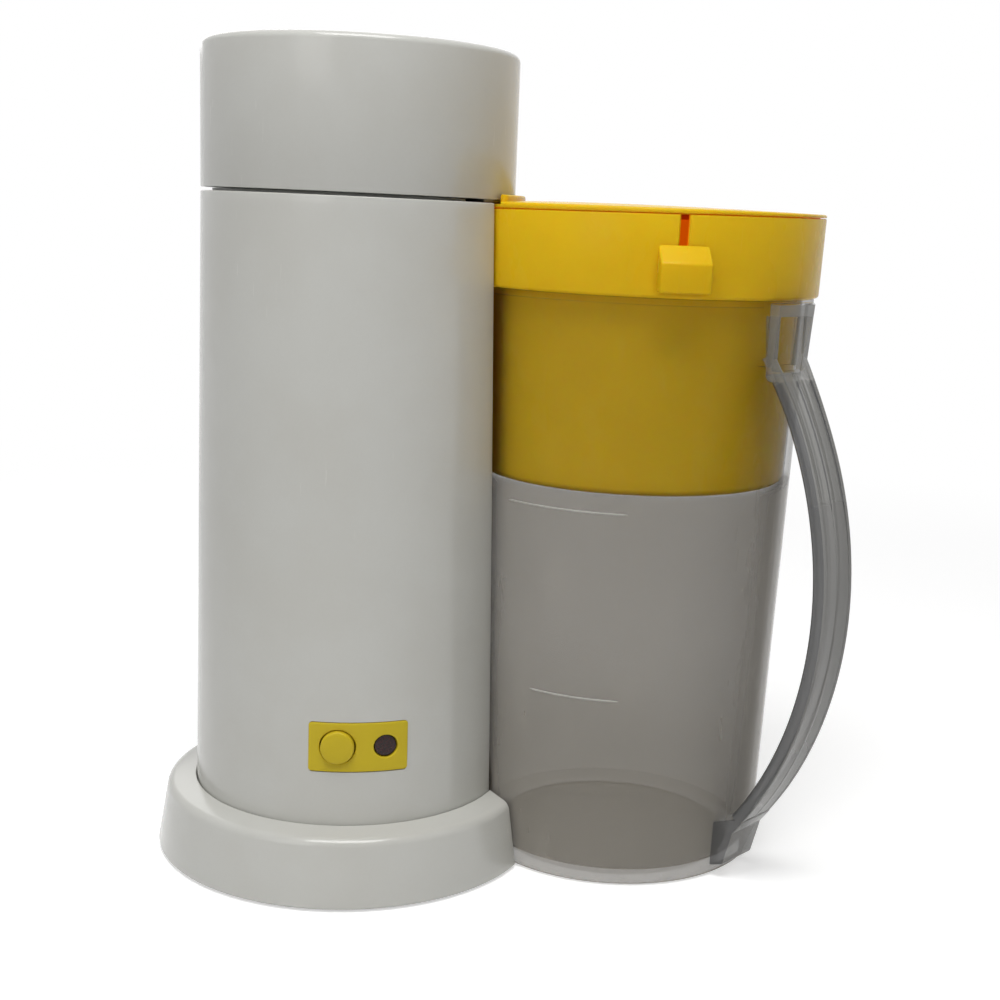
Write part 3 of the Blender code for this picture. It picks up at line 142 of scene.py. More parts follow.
def arc_corner(before: Vector, corner: Vector, after: Vector, radius: float) -> Loop:
    """Rounds one corner of a flat outline.

    Args:
        before: The point ahead of the corner.
        corner: The corner.
        after: The point behind the corner.
        radius: The corner's radius, or zero for a sharp one.

    Returns:
        The points of the arc, or the corner alone.
    """
    a, b = (before - corner).normalized(), (after - corner).normalized()
    half = a.angle(b) / 2
    if not radius or abs(half - pi / 2) < STRAIGHT:
        return [corner]
    reach = min(radius / tan(half), (before - corner).length / 2, (after - corner).length / 2)
    radius = reach * tan(half)
    centre = corner + (a + b).normalized() * (radius / sin(half))
    start, end = corner + a * reach - centre, corner + b * reach - centre
    turn = start.angle_signed(end)
    steps = max(2, min(MOST_ARC_STEPS, round(radius * abs(turn) / CHORD)))
    return [centre + Matrix.Rotation(-turn * i / steps, 2) @ start for i in range(steps + 1)]


def rounded(corners: Iterable[Corner]) -> Loop:
    """Makes a closed outline from its corners.

    Args:
        corners: (x, y) or (x, y, corner radius) for each corner.

    Returns:
        The outline's points, with the round corners as arcs.
    """
    corners = list(corners)
    flat = [Vector(corner[:2]) for corner in corners]
    outline: Loop = []
    for i, corner in enumerate(corners):
        radius = corner[2] if len(corner) > 2 else 0.0
        outline += arc_corner(flat[i - 1], flat[i], flat[(i + 1) % len(flat)], radius)
    return outline


def piece_from(name: str, build: Callable[[Mesh], None]) -> Piece:
    """Makes a mesh object.

    Args:
        name: The object's name.
        build: Adds the faces to a bmesh.

    Returns:
        The object, with its faces turned outwards and its shading set.
    """
    work = bmesh.new()
    build(work)
    bmesh.ops.recalc_face_normals(work, faces=work.faces)
    mesh = bpy.data.meshes.new(name)
    work.to_mesh(mesh)
    work.free()
    obj = bpy.data.objects.new(name, mesh)
    bpy.context.scene.collection.objects.link(obj)
    shade(obj)
    return obj


def shade(obj: Piece) -> None:
    """Shades an object smooth, apart from its sharp edges."""
    obj.data.shade_smooth()
    obj.data.set_sharp_from_angle(angle=SHARP)


def add_strip(work: Mesh, first: list, second: list, closed: bool = True) -> None:
    """Joins two rows of vertices with quads, or with triangles where one row is a single vertex.

    Args:
        work: The bmesh that the vertices are in.
        first: One row.
        second: The next row.
        closed: Whether the rows close on themselves.
    """
    count = max(len(first), len(second))
    for i in range(count if closed else count - 1):
        j = (i + 1) % count
        corners = [row[k % len(row)] for row, k in ((first, i), (first, j), (second, j), (second, i))]
        corners = [corner for k, corner in enumerate(corners) if corner not in corners[:k]]
        if len(corners) > 2:
            work.faces.new(corners)


def lathe(
    name: str,
    profile: Loop,
    place: Vector = Vector(),
    turn: Matrix = Matrix.Identity(3),
    steps: int = FINE,
) -> Piece:
    """Turns a closed profile about an axis.

    Args:
        name: The object's name.
        profile: The (radius, height) points; those at radius zero close the body on its axis.
        place: Where the axis's foot goes.
        turn: How the axis is turned from upright.
        steps: The steps in a full turn.

    Returns:
        The turned body.
    """

    def build(work: Mesh) -> None:
        rows = []
        for point in profile:
            count = 1 if point.x < TINY else steps
            spots = [polar(point.x, 2 * pi * i / steps, point.y) for i in range(count)]
            rows.append([work.verts.new(turn @ spot + place) for spot in spots])
        for i, row in enumerate(rows):
            after = rows[(i + 1) % len(rows)]
            if len(row) > 1 or len(after) > 1:
                add_strip(work, row, after)

    return piece_from(name, build)


def loft(name: str, loops: list[Loop], ring: bool = True) -> Piece:
    """Skins closed loops that all have the same number of points.

    Args:
        name: The object's name.
        loops: The loops, in order.
        ring: Whether the last loop joins the first one; otherwise both ends are capped.

    Returns:
        The skinned body.
    """

    def build(work: Mesh) -> None:
        rows = [[work.verts.new(point) for point in loop] for loop in loops]
        for i, row in enumerate(rows[: None if ring else -1]):
            add_strip(work, row, rows[(i + 1) % len(rows)])
        if not ring:
            work.faces.new(rows[0])
            work.faces.new(rows[-1])

    return piece_from(name, build)


def prism(name: str, outline: Loop, width: float, place: Matrix, bevel: float = 0.0) -> Piece:
    """Draws an outline in the XZ plane out to a width along Y.

    Args:
        name: The object's name.
        outline: The outline's (x, z) points.
        width: The width, centred on Y = 0.
        place: Where the body goes.
        bevel: The radius of its long edges' rounding.

    Returns:
        The body.
    """
    loops = [[place @ Vector((p.x, side * width / 2, p.y)) for p in outline] for side in (-1, 1)]
    obj = loft(name, loops, ring=False)
    return bevelled(obj, bevel) if bevel else obj


def block(name: str, low: Corner, high: Corner, place: Matrix) -> Piece:
    """Makes a box between two corners."""
    (left, front, base), (right, back, top) = low, high
    outline = [Vector(spot) for spot in ((left, base), (right, base), (right, top), (left, top))]
    return prism(name, outline, back - front, place @ Matrix.Translation((0, (front + back) / 2, 0)))


def rod(name: str, radius: float, start: Vector, end: Vector, steps: int = SMALL, edge: float = 0.0) -> Piece:
    """Makes a round bar between two points, with its ends' edges rounded where an edge radius is given."""
    along = end - start
    profile = rounded([(0, 0), (radius, 0, edge), (radius, along.length, edge), (0, along.length)])
    return lathe(name, profile, start, along.to_track_quat("Z", "Y").to_matrix(), steps)


def drill(name: str, radius: float, spot: Vector, steps: int) -> Piece:
    """Makes the upright bar that cuts a round hole at a spot."""
    return rod(name, radius, spot - up(OVERRUN), spot + up(OVERRUN), steps)


def settle(obj: Piece) -> Piece:
    """Applies an object's modifiers to its mesh."""
    bpy.context.view_layer.update()
    shape = obj.evaluated_get(bpy.context.evaluated_depsgraph_get())
    old, obj.data = obj.data, bpy.data.meshes.new_from_object(shape)
    obj.modifiers.clear()
    bpy.data.meshes.remove(old)
    shade(obj)
    return obj


def bevelled(obj: Piece, width: float) -> Piece:
    """Rounds an object's sharp edges to a radius."""
    step = obj.modifiers.new("rounding", "BEVEL")
    step.width, step.segments = width, EDGE_STEPS
    step.limit_method, step.angle_limit = "ANGLE", ROUNDED
    return settle(obj)


def combined(obj: Piece, what: Cut, *others: Piece) -> Piece:
    """Cuts or joins an object with others, which are used up.

    Args:
        obj: The object that stays.
        what: What the Boolean does.
        others: The objects that it does it with.

    Returns:
        The object, with the result as its mesh.
    """
    for other in others:
        step = obj.modifiers.new(what.name, "BOOLEAN")
        step.operation, step.solver, step.object = what.value, "EXACT", other
    settle(obj)
    for other in others:
        mesh = other.data
        bpy.data.objects.remove(other)
        bpy.data.meshes.remove(mesh)
    return obj


# ---- finishes


class Wire:
    """A shader socket that takes part in arithmetic."""

    def __init__(self, graph: "Graph", socket: bpy.types.NodeSocket) -> None:
        """Wraps an output socket of the graph."""
        self.graph = graph
        self.socket = socket

    def _math(self, operation: str, first: "Number", second: "Number") -> "Wire":
        """Adds a Math node on two values."""
        return self.graph.add("ShaderNodeMath", {"operation": operation}, {0: first, 1: second})

    def __add__(self, other: "Number") -> "Wire":
        """Adds."""
        return self._math("ADD", self, other)

    __radd__ = __add__

    def __mul__(self, other: "Number") -> "Wire":
        """Multiplies."""
        return self._math("MULTIPLY", self, other)

    __rmul__ = __mul__

    def __sub__(self, other: "Number") -> "Wire":
        """Subtracts."""
        return self._math("SUBTRACT", self, other)

    def __rsub__(self, other: "Number") -> "Wire":
        """Subtracts from a number."""
        return self._math("SUBTRACT", other, self)

    def __pow__(self, other: "Number") -> "Wire":
        """Raises to a power."""
        return self._math("POWER", self, other)

    def band(self, low: float, high: float) -> "Wire":
        """Spreads the values between two limits over 0 to 1, smoothly."""
        inputs = {"Value": self, "From Min": low, "From Max": high}
        return self.graph.add("ShaderNodeMapRange", {"interpolation_type": "SMOOTHSTEP"}, inputs)


Number = Union[Wire, float]


class Graph:
    """The nodes of one material, or of the world."""

    def __init__(self, owner: bpy.types.Material | bpy.types.World) -> None:
        """Clears the owner's nodes, and adds its output."""
        owner.use_nodes = True
        self.tree = owner.node_tree
        self.tree.nodes.clear()
        kind = "World" if isinstance(owner, bpy.types.World) else "Material"
        self.output = self.tree.nodes.new("ShaderNodeOutput" + kind)
        self._places: Wire | None = None

    def add(
        self, kind: str, settings: dict | None = None, inputs: dict | None = None, output: int | str = 0
    ) -> Wire:
        """Adds a node.

        Args:
            kind: The node's type.
            settings: Its properties, which are set first.
            inputs: The value or the wire for each of its sockets.
            output: Which of its outputs is given back.

        Returns:
            That output.
        """
        node = self.tree.nodes.new(kind)
        for key, value in (settings or {}).items():
            setattr(node, key, value)
        for key, value in (inputs or {}).items():
            if isinstance(value, Wire):
                self.tree.links.new(value.socket, node.inputs[key])
            else:
                node.inputs[key].default_value = value
        return Wire(self, node.outputs[output])

    @property
    def places(self) -> Wire:
        """The place on the piece, in metres."""
        if self._places is None:
            self._places = self.add("ShaderNodeTexCoord", output="Object")
        return self._places

    def stretched(self, factors: Colour, turn: Colour = (0, 0, 0)) -> Wire:
        """Gives the place on the piece, turned and scaled along its axes."""
        return self.add("ShaderNodeMapping", None, {"Vector": self.places, "Rotation": turn, "Scale": factors})

    def blend(self, share: Number, first: "Paint", second: "Paint") -> Wire:
        """Mixes two colours."""
        first, second = (c if isinstance(c, Wire) else (*c, 1) for c in (first, second))
        return self.add("ShaderNodeMix", {"data_type": "RGBA"}, {0: share, 6: first, 7: second}, 2)

    def bumped(self, height: Wire) -> Wire:
        """Turns a height in metres into a normal."""
        return self.add("ShaderNodeBump", None, {"Height": height, "Distance": 1.0, "Strength": 1.0}, "Normal")

    def principled(self, **inputs: object) -> Wire:
        """Adds the Principled shader; a socket's name has _ for a space."""
        named = {key.replace("_", " "): value for key, value in inputs.items()}
        return self.add("ShaderNodeBsdfPrincipled", None, named)

    def finish(self, surface: Wire) -> None:
        """Links the surface to the material's output."""
        self.tree.links.new(surface.socket, self.output.inputs["Surface"])


Paint = Union[Wire, Colour]


@dataclass(frozen=True)
class Pattern:
    """Noise on a piece: its scale per metre and kind, the band of it that shows, and how it is drawn out."""

    scale: float
    detail: float = 2.0
    roughness: float = 0.5
    limits: tuple[float, float] | None = None
    factors: Colour | None = None
    turn: Colour = (0.0, 0.0, 0.0)

    def on(self, graph: Graph) -> Wire:
        """Adds the pattern's nodes, and returns its value from 0 to 1."""
        places = graph.stretched(self.factors, self.turn) if self.factors else graph.places
        inputs = {"Vector": places, "Scale": self.scale, "Detail": self.detail, "Roughness": self.roughness}
        noise = graph.add("ShaderNodeTexNoise", None, inputs)
        return noise.band(*self.limits) if self.limits else noise


class Finish(ABC):
    """A finish that can be put on pieces."""

    @abstractmethod
    def surface(self, graph: Graph) -> Wire:
        """Adds the finish's nodes, and returns its shader."""

    def material(self, name: str) -> bpy.types.Material:
        """Makes the material of this finish, under a name."""
        material = bpy.data.materials.new(name)
        graph = Graph(material)
        graph.finish(self.surface(graph))
        return material


@dataclass(frozen=True)
class GlossPlastic(Finish):
    """Glossy moulded plastic: clouds of colour, orange peel, and hairline marks and smudges in the gloss."""

    colour: Colour
    cloud: Colour
    roughness: float = 0.20
    smudge: float = 0.10
    peel: float = 0.000012
    marks: float = 0.000010
    shine: float = 0.5
    glow: float = 0.0
    glow_reach: float = 0.005
    glow_colour: Colour = (1.0, 0.35, 0.05)
    # Painted glow: an emission colour that stands in for light coming through the translucent plastic; nothing
    # here is a lamp
    painted_glow: Colour = (0.0, 0.0, 0.0)

    CLOUDS = Pattern(22, 3, 0.55, (0.35, 0.68))
    SPECKS = Pattern(900, 2, 0.6, (0.3, 0.75))
    SMUDGES = Pattern(34, 4, 0.62, (0.45, 0.72), (1, 1, 0.45))
    HAIRS = Pattern(160, 2, 0.5, (0.66, 0.74), (9, 9, 0.35), (0.0, 0.35, 0.2))
    WIPED = Pattern(12, 2, 0.5, (0.5, 0.62))
    PEEL = Pattern(420, 2, 0.4)
    CLOUD_SHARE, SPECK_SHARE = 0.8, 0.2
    HAIR_ROUGHNESS = 0.12
    INDEX = 1.49

    def surface(self, graph: Graph) -> Wire:
        """Adds the finish's nodes, and returns its shader."""
        clouds = self.CLOUDS.on(graph) * self.CLOUD_SHARE + self.SPECKS.on(graph) * self.SPECK_SHARE
        hairs = self.HAIRS.on(graph) * self.WIPED.on(graph)
        height = self.PEEL.on(graph) * self.peel - hairs * self.marks
        return graph.principled(
            Base_Color=graph.blend(clouds, self.colour, self.cloud),
            Roughness=self.SMUDGES.on(graph) * self.smudge + hairs * self.HAIR_ROUGHNESS + self.roughness,
            Normal=graph.bumped(height),
            IOR=self.INDEX,
            Specular_IOR_Level=self.shine,
            Subsurface_Weight=self.glow,
            Subsurface_Radius=self.glow_colour,
            Subsurface_Scale=self.glow_reach,
            Emission_Color=(*self.painted_glow, 1.0),
            Emission_Strength=1.0,
        )


@dataclass(frozen=True)
class ClearPlastic(Finish):
    """Clear moulded plastic: see-through face on, darker where it is seen at a slant, and greyer below the cup,
    part haze in the plastic and part painted shade of the body seen through it.
    """

    tint: Colour = (0.13, 0.115, 0.09)
    # The grey below the cup is part haze and part painted shade of the shaded body behind the jug
    haze_and_shade_tint: Colour = (0.43, 0.395, 0.335)
    face: float = 0.055
    haze_and_shade: float = 0.38
    slant: float = 0.93
    slant_power: float = 4.0
    roughness: float = 0.07
    shine: float = 0.04
    haze_and_shade_top_z: float = 0.1605
    haze_and_shade_fade: float = 0.004

    FLOW = Pattern(30, 4, 0.6, None, (1, 1, 0.35))
    SCUFFS = Pattern(140, 3, 0.6, (0.52, 0.78), (1, 1, 0.2))
    RIPPLES = Pattern(90, 2, 0.4)
    LEVEL_SHARE = 0.5
    FLOW_COVER, SCUFF_COVER, COVER_MEAN = 0.06, 0.03, 0.03
    HAZE_COLOUR, SCUFF_COLOUR = 0.8, 0.2
    FLOW_ROUGHNESS, SCUFF_ROUGHNESS = 0.05, 0.15
    RIPPLE_HEIGHT = 0.00002
    INDEX = 1.52

    def surface(self, graph: Graph) -> Wire:
        """Adds the finish's nodes, and returns its shader."""
        slant = graph.add("ShaderNodeLayerWeight", None, {"Blend": 0.5}, "Facing") ** self.slant_power
        facing = graph.add("ShaderNodeTexCoord", output="Normal")
        height, rise = (
            graph.add("ShaderNodeSeparateXYZ", None, {"Vector": wire}, "Z") for wire in (graph.places, facing)
        )
        # Below the cup: a grey cover, part haze and part painted shade standing in for the shaded body seen
        # through the wall
        low = 1 - height.band(self.haze_and_shade_top_z - self.haze_and_shade_fade, self.haze_and_shade_top_z)
        flow, scuffs = self.FLOW.on(graph), self.SCUFFS.on(graph)
        clear = ((1 - rise**2.0) * (1 - self.LEVEL_SHARE) + self.LEVEL_SHARE) * self.face
        hazed_and_shaded = flow * self.FLOW_COVER + scuffs * self.SCUFF_COVER + (self.haze_and_shade - self.COVER_MEAN)
        share = low * self.HAZE_COLOUR + scuffs * self.SCUFF_COLOUR
        return graph.principled(
            Base_Color=graph.blend(share, self.tint, self.haze_and_shade_tint),
            Roughness=flow * self.FLOW_ROUGHNESS + low * scuffs * self.SCUFF_ROUGHNESS + self.roughness,
            Alpha=low * hazed_and_shaded + slant * self.slant + clear,
            Normal=graph.bumped(self.RIPPLES.on(graph) * self.RIPPLE_HEIGHT),
            IOR=self.INDEX,
            Specular_IOR_Level=self.shine,
        )


@dataclass(frozen=True)
class Metal(Finish):
    """Bare metal, brushed or cast."""

    colour: Colour
    roughness: float
    grain: float
    stretch: float = 1.0

    STAIN = Pattern(60, 3, 0.5, (0.4, 0.75))
    DULL = 0.72
    STAIN_COLOUR, LINE_COLOUR = 0.5, 0.2
    LINE_ROUGHNESS, STAIN_ROUGHNESS, ROUGHNESS_MEAN = 0.18, 0.1, 0.1
    LINE_HEIGHT = 0.00003

    def surface(self, graph: Graph) -> Wire:
        """Adds the finish's nodes, and returns its shader."""
        lines = Pattern(self.grain, 3, 0.6, None, (self.stretch, 1, 1)).on(graph)
        stain = self.STAIN.on(graph)
        dull = tuple(c * self.DULL for c in self.colour)
        rough = lines * self.LINE_ROUGHNESS + stain * self.STAIN_ROUGHNESS
        return graph.principled(
            Base_Color=graph.blend(stain * self.STAIN_COLOUR + lines * self.LINE_COLOUR, self.colour, dull),
            Roughness=rough + (self.roughness - self.ROUGHNESS_MEAN),
            Normal=graph.bumped(lines * self.LINE_HEIGHT),
            Metallic=1.0,
        )


@dataclass(frozen=True)
class SoftPlastic(Finish):
    """Matt or soft plastic, rubber and silicone: a fine pebbled grain and dust in its low spots."""

    colour: Colour
    dust: Colour
    roughness: float = 0.5
    grain: float = 1400.0
    depth: float = 0.00003
    cover: float = 1.0

    CLOUDS = Pattern(45, 3, 0.6, (0.4, 0.75))
    CLOUD_DUST, PEBBLE_DUST = 0.6, 0.2
    CLOUD_ROUGHNESS, PEBBLE_ROUGHNESS = 0.12, 0.08

    def surface(self, graph: Graph) -> Wire:
        """Adds the finish's nodes, and returns its shader."""
        pebbles, clouds = Pattern(self.grain).on(graph), self.CLOUDS.on(graph)
        dust = clouds * self.CLOUD_DUST + (1 - pebbles) * self.PEBBLE_DUST
        rough = clouds * self.CLOUD_ROUGHNESS + pebbles * self.PEBBLE_ROUGHNESS
        return graph.principled(
            Base_Color=graph.blend(dust, self.colour, self.dust),
            Roughness=rough + (self.roughness - self.PEBBLE_ROUGHNESS),
            Normal=graph.bumped(pebbles * self.depth),
            Alpha=self.cover,
        )


@dataclass(frozen=True)
class Lens(Finish):
    """A dark red lens: deep colour with a moulded grain behind a hard gloss."""

    colour: Colour
    deep: Colour

    FACETS, FACET_LIMITS = 1500.0, (0.1, 0.7)
    WEAR = Pattern(300)
    WEAR_ROUGHNESS, ROUGHNESS = 0.08, 0.05
    SHINE, COAT, COAT_ROUGHNESS = 0.3, 0.1, 0.03

    def surface(self, graph: Graph) -> Wire:
        """Adds the finish's nodes, and returns its shader."""
        facets = graph.add("ShaderNodeTexVoronoi", None, {"Vector": graph.places, "Scale": self.FACETS})
        return graph.principled(
            Base_Color=graph.blend(facets.band(*self.FACET_LIMITS), self.colour, self.deep),
            Roughness=self.WEAR.on(graph) * self.WEAR_ROUGHNESS + self.ROUGHNESS,
            Specular_IOR_Level=self.SHINE,
            Coat_Weight=self.COAT,
            Coat_Roughness=self.COAT_ROUGHNESS,
        )


class Look(Enum):
    """The finishes of the maker's pieces."""

    CREAM = GlossPlastic((0.60, 0.60, 0.565), (0.575, 0.57, 0.53), 0.17, 0.05)
    YELLOW = GlossPlastic((0.81, 0.52, 0.011), (0.77, 0.485, 0.009), 0.26, 0.06, shine=0.10, glow=0.35)
    # Painted shade and glow: the yellow plastic darkened to orange and given a painted glow, for the ring's
    # inside seen in shade through the slot
    AMBER = GlossPlastic(
        (0.80, 0.40, 0.006), (0.76, 0.37, 0.005), 0.40, 0.06, shine=0.05, painted_glow=(0.34, 0.055, 0.0)
    )
    LEMON = GlossPlastic((0.64, 0.49, 0.022), (0.60, 0.455, 0.02), 0.28, 0.06, shine=0.2)
    CLEAR = ClearPlastic()
    THICK = ClearPlastic((0.20, 0.195, 0.175), (0.205, 0.20, 0.185), 0.62, 0.04, 0.3, 1.6, shine=0.5)
    # Painted shade: the handle's side faces darkened, standing in for the dark lines that the clear plastic
    # shows by refraction
    EDGE = ClearPlastic((0.080, 0.080, 0.081), (0.09, 0.09, 0.09), 0.80, 0.04, 0.2, 1.6, shine=0.5)
    # Painted highlight: the level lines' raised bead is made pale, as if it were catching the light
    BEAD = SoftPlastic((0.62, 0.61, 0.58), (0.55, 0.54, 0.50), 0.35, 900.0, 0.00001, 0.75)
    RED = Lens((0.045, 0.003, 0.003), (0.012, 0.001, 0.001))
    STEEL = Metal((0.60, 0.60, 0.62), 0.32, 900.0, 6.0)
    ALUMINIUM = Metal((0.68, 0.68, 0.70), 0.48, 500.0)
    RUBBER = SoftPlastic((0.018, 0.018, 0.018), (0.035, 0.034, 0.032), 0.72)
    BLACK = SoftPlastic((0.022, 0.022, 0.023), (0.04, 0.04, 0.038), 0.55, 900.0)
    TANK = SoftPlastic((0.70, 0.70, 0.66), (0.62, 0.61, 0.56), 0.42, 700.0, 0.00002)
    HOSE = SoftPlastic((0.66, 0.65, 0.61), (0.58, 0.56, 0.50), 0.38, 300.0, 0.00002)
    BULB = SoftPlastic((0.75, 0.30, 0.12), (0.60, 0.20, 0.08), 0.15, 300.0, 0.0, 0.7)

    @property
    def made(self) -> bpy.types.Material:
        """The material of this finish, made once."""
        name = "finish_" + self.name.lower()
        return bpy.data.materials.get(name) or self.value.material(name)


def dress(piece: Piece, look: Look, body: Body, *nodes: str) -> Piece:
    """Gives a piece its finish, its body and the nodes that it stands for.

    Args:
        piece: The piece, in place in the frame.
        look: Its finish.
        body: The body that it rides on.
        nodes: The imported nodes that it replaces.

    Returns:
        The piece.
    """
    piece.data.materials.clear()
    piece.data.materials.append(look.made)
    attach(piece, body.value)
    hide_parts(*nodes)
    LOG.info("%s rides on %s: %d faces", piece.name, body.value, len(piece.data.polygons))
    return piece


# ---- the layout that the pieces share


@dataclass(frozen=True)
class Layout:
    """Where the two axes stand, and the cones that the tower and the pitcher share."""

    tower: Vector
    reach: float
    shell_top_r: float = 0.0606
    shell_low_r: float = 0.0629
    shell_low_z: float = 0.0290
    seam_z: float = 0.2637
    seam_gap: float = 0.0013
    hollow_top_r: float = 0.0735
    hollow_foot_r: float = 0.0625
    wall: float = 0.0022
    ring_top_z: float = 0.2620
    ring_base_z: float = 0.2328
    ring_top_r: float = 0.0725
    ring_low_r: float = 0.0716
    jug_rim_z: float = 0.2325
    jug_top_r: float = 0.0681
    jug_foot_r: float = 0.0613
    jug_wall: float = 0.0025
    ring_wall: float = 0.0020
    hinge_y: float = 0.0640
    hinge_z: float = 0.2680
    knuckle_w: float = 0.0172
    pin_bore_r: float = 0.0016
    panel_azimuth: float = radians(-88.5)
    panel_w: float = 0.0369
    panel_h: float = 0.0193
    panel_z: float = 0.0600
    panel_corner: float = 0.0012
    lid_line_drop: float = 0.0003
    lid_line_climb: float = 0.0020

    @classmethod
    def measured(cls) -> "Layout":
        """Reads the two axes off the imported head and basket."""
        head, basket = (sum(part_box(node), Vector()) / 2 for node in ("reservoir_lid", "brew_basket"))
        return cls(Vector((head.x, basket.y, 0)), basket.x - head.x)

    @property
    def pitcher(self) -> Vector:
        """The foot of the pitcher's axis."""
        return self.tower + Vector((self.reach, 0, 0))

    def hinge_bar(self, name: str, radius: float, length: float, edge: float = 0.0) -> Piece:
        """Makes a round bar of a length, centred on the hinge's axis."""
        middle, half = self.tower + Vector((0, self.hinge_y, self.hinge_z)), Vector((length / 2, 0, 0))
        return rod(name, radius, middle - half, middle + half, SMALL, edge)

    def pin_bore(self) -> Piece:
        """Makes the bar that cuts the hinge pin's bore."""
        return self.hinge_bar("pin_bore", self.pin_bore_r, OVERRUN * 4)

    def shell_r(self, z: float) -> float:
        """The body's outer radius at a height."""
        return between(z, (self.shell_low_r, self.shell_low_z), (self.shell_top_r, self.seam_z))

    def hollow_r(self, z: float) -> float:
        """The docking hollow's radius at a height, about the pitcher's axis."""
        return between(z, (self.hollow_foot_r, 0), (self.hollow_top_r, self.seam_z))

    def jug_r(self, z: float) -> float:
        """The jug's outer radius at a height."""
        return between(z, (self.jug_foot_r, 0), (self.jug_top_r, self.jug_rim_z))

    def ring_r(self, z: float) -> float:
        """The basket ring's outer radius at a height."""
        return between(z, (self.ring_low_r, self.ring_base_z), (self.ring_top_r, self.ring_top_z))

    def climbed(self, obj: Piece, still_z: float, moved_z: float) -> Piece:
        """Lets the line between ring and lid climb away from the tower, as it does on the real one.

        Args:
            obj: The ring or the lid, whose points are moved up or down.
            still_z: The height at which nothing moves.
            moved_z: The height of the line itself, from which all points move fully.

        Returns:
            The same object.
        """
        for vert in obj.data.vertices:
            share = min(1.0, max(0.0, (vert.co.z - still_z) / (moved_z - still_z)))
            across = ((vert.co.x - self.pitcher.x) / self.ring_top_r + 1) / 2
            vert.co.z += (self.lid_line_climb * across - self.lid_line_drop) * share
        return obj

    def on_tower(self, azimuth: float = 0.0) -> Matrix:
        """The turn about the tower's axis that brings +X to an azimuth."""
        return Matrix.Translation(self.tower) @ Matrix.Rotation(azimuth, 4, "Z")

    def on_pitcher(self, azimuth: float = 0.0) -> Matrix:
        """The turn about the pitcher's axis that brings +X to an azimuth."""
        return Matrix.Translation(self.pitcher) @ Matrix.Rotation(azimuth, 4, "Z")

    def meeting(self, radius: float, other: float) -> float:
        """The azimuth at which a circle about the tower's axis meets one about the pitcher's."""
        return acos((radius**2 + self.reach**2 - other**2) / (2 * radius * self.reach))

    def notched(
        self, z: float, radius: float, hollow: float, corner: float, counts: tuple[int, int, int]
    ) -> Loop:
        """Makes a round outline with the docking hollow taken out of its side.

        Args:
            z: The outline's height.
            radius: The round's radius about the tower's axis.
            hollow: The hollow's radius about the pitcher's axis.
            corner: The radius of the two corners between them.
            counts: The steps along the round, each corner and the hollow.

        Returns:
            The outline's points, from the corner on the far side, round the back to the near side.
        """
        x = ((radius - corner) ** 2 - (hollow + corner) ** 2 + self.reach**2) / (2 * self.reach)
        y = sqrt((radius - corner) ** 2 - x**2)
        turn, lean = atan2(y, x), atan2(y, self.reach - x)
        round_steps, corner_steps, hollow_steps = counts
        sweep = pi - turn - lean
        arcs = (
            (Vector(), radius, turn, 2 * pi - 2 * turn, round_steps, 0),
            (Vector((x, -y, 0)), corner, -turn, sweep, corner_steps, 1),
            (Vector((self.reach, 0, 0)), hollow, pi + lean, -2 * lean, hollow_steps, 0),
            (Vector((x, y, 0)), corner, turn - sweep, sweep, corner_steps, 1),
        )
        return [
            middle + polar(size, start + way * i / steps) + self.tower + up(z)
            for middle, size, start, way, steps, skipped in arcs
            for i in range(skipped, steps + 1 - skipped)
        ]


# ---- the tower


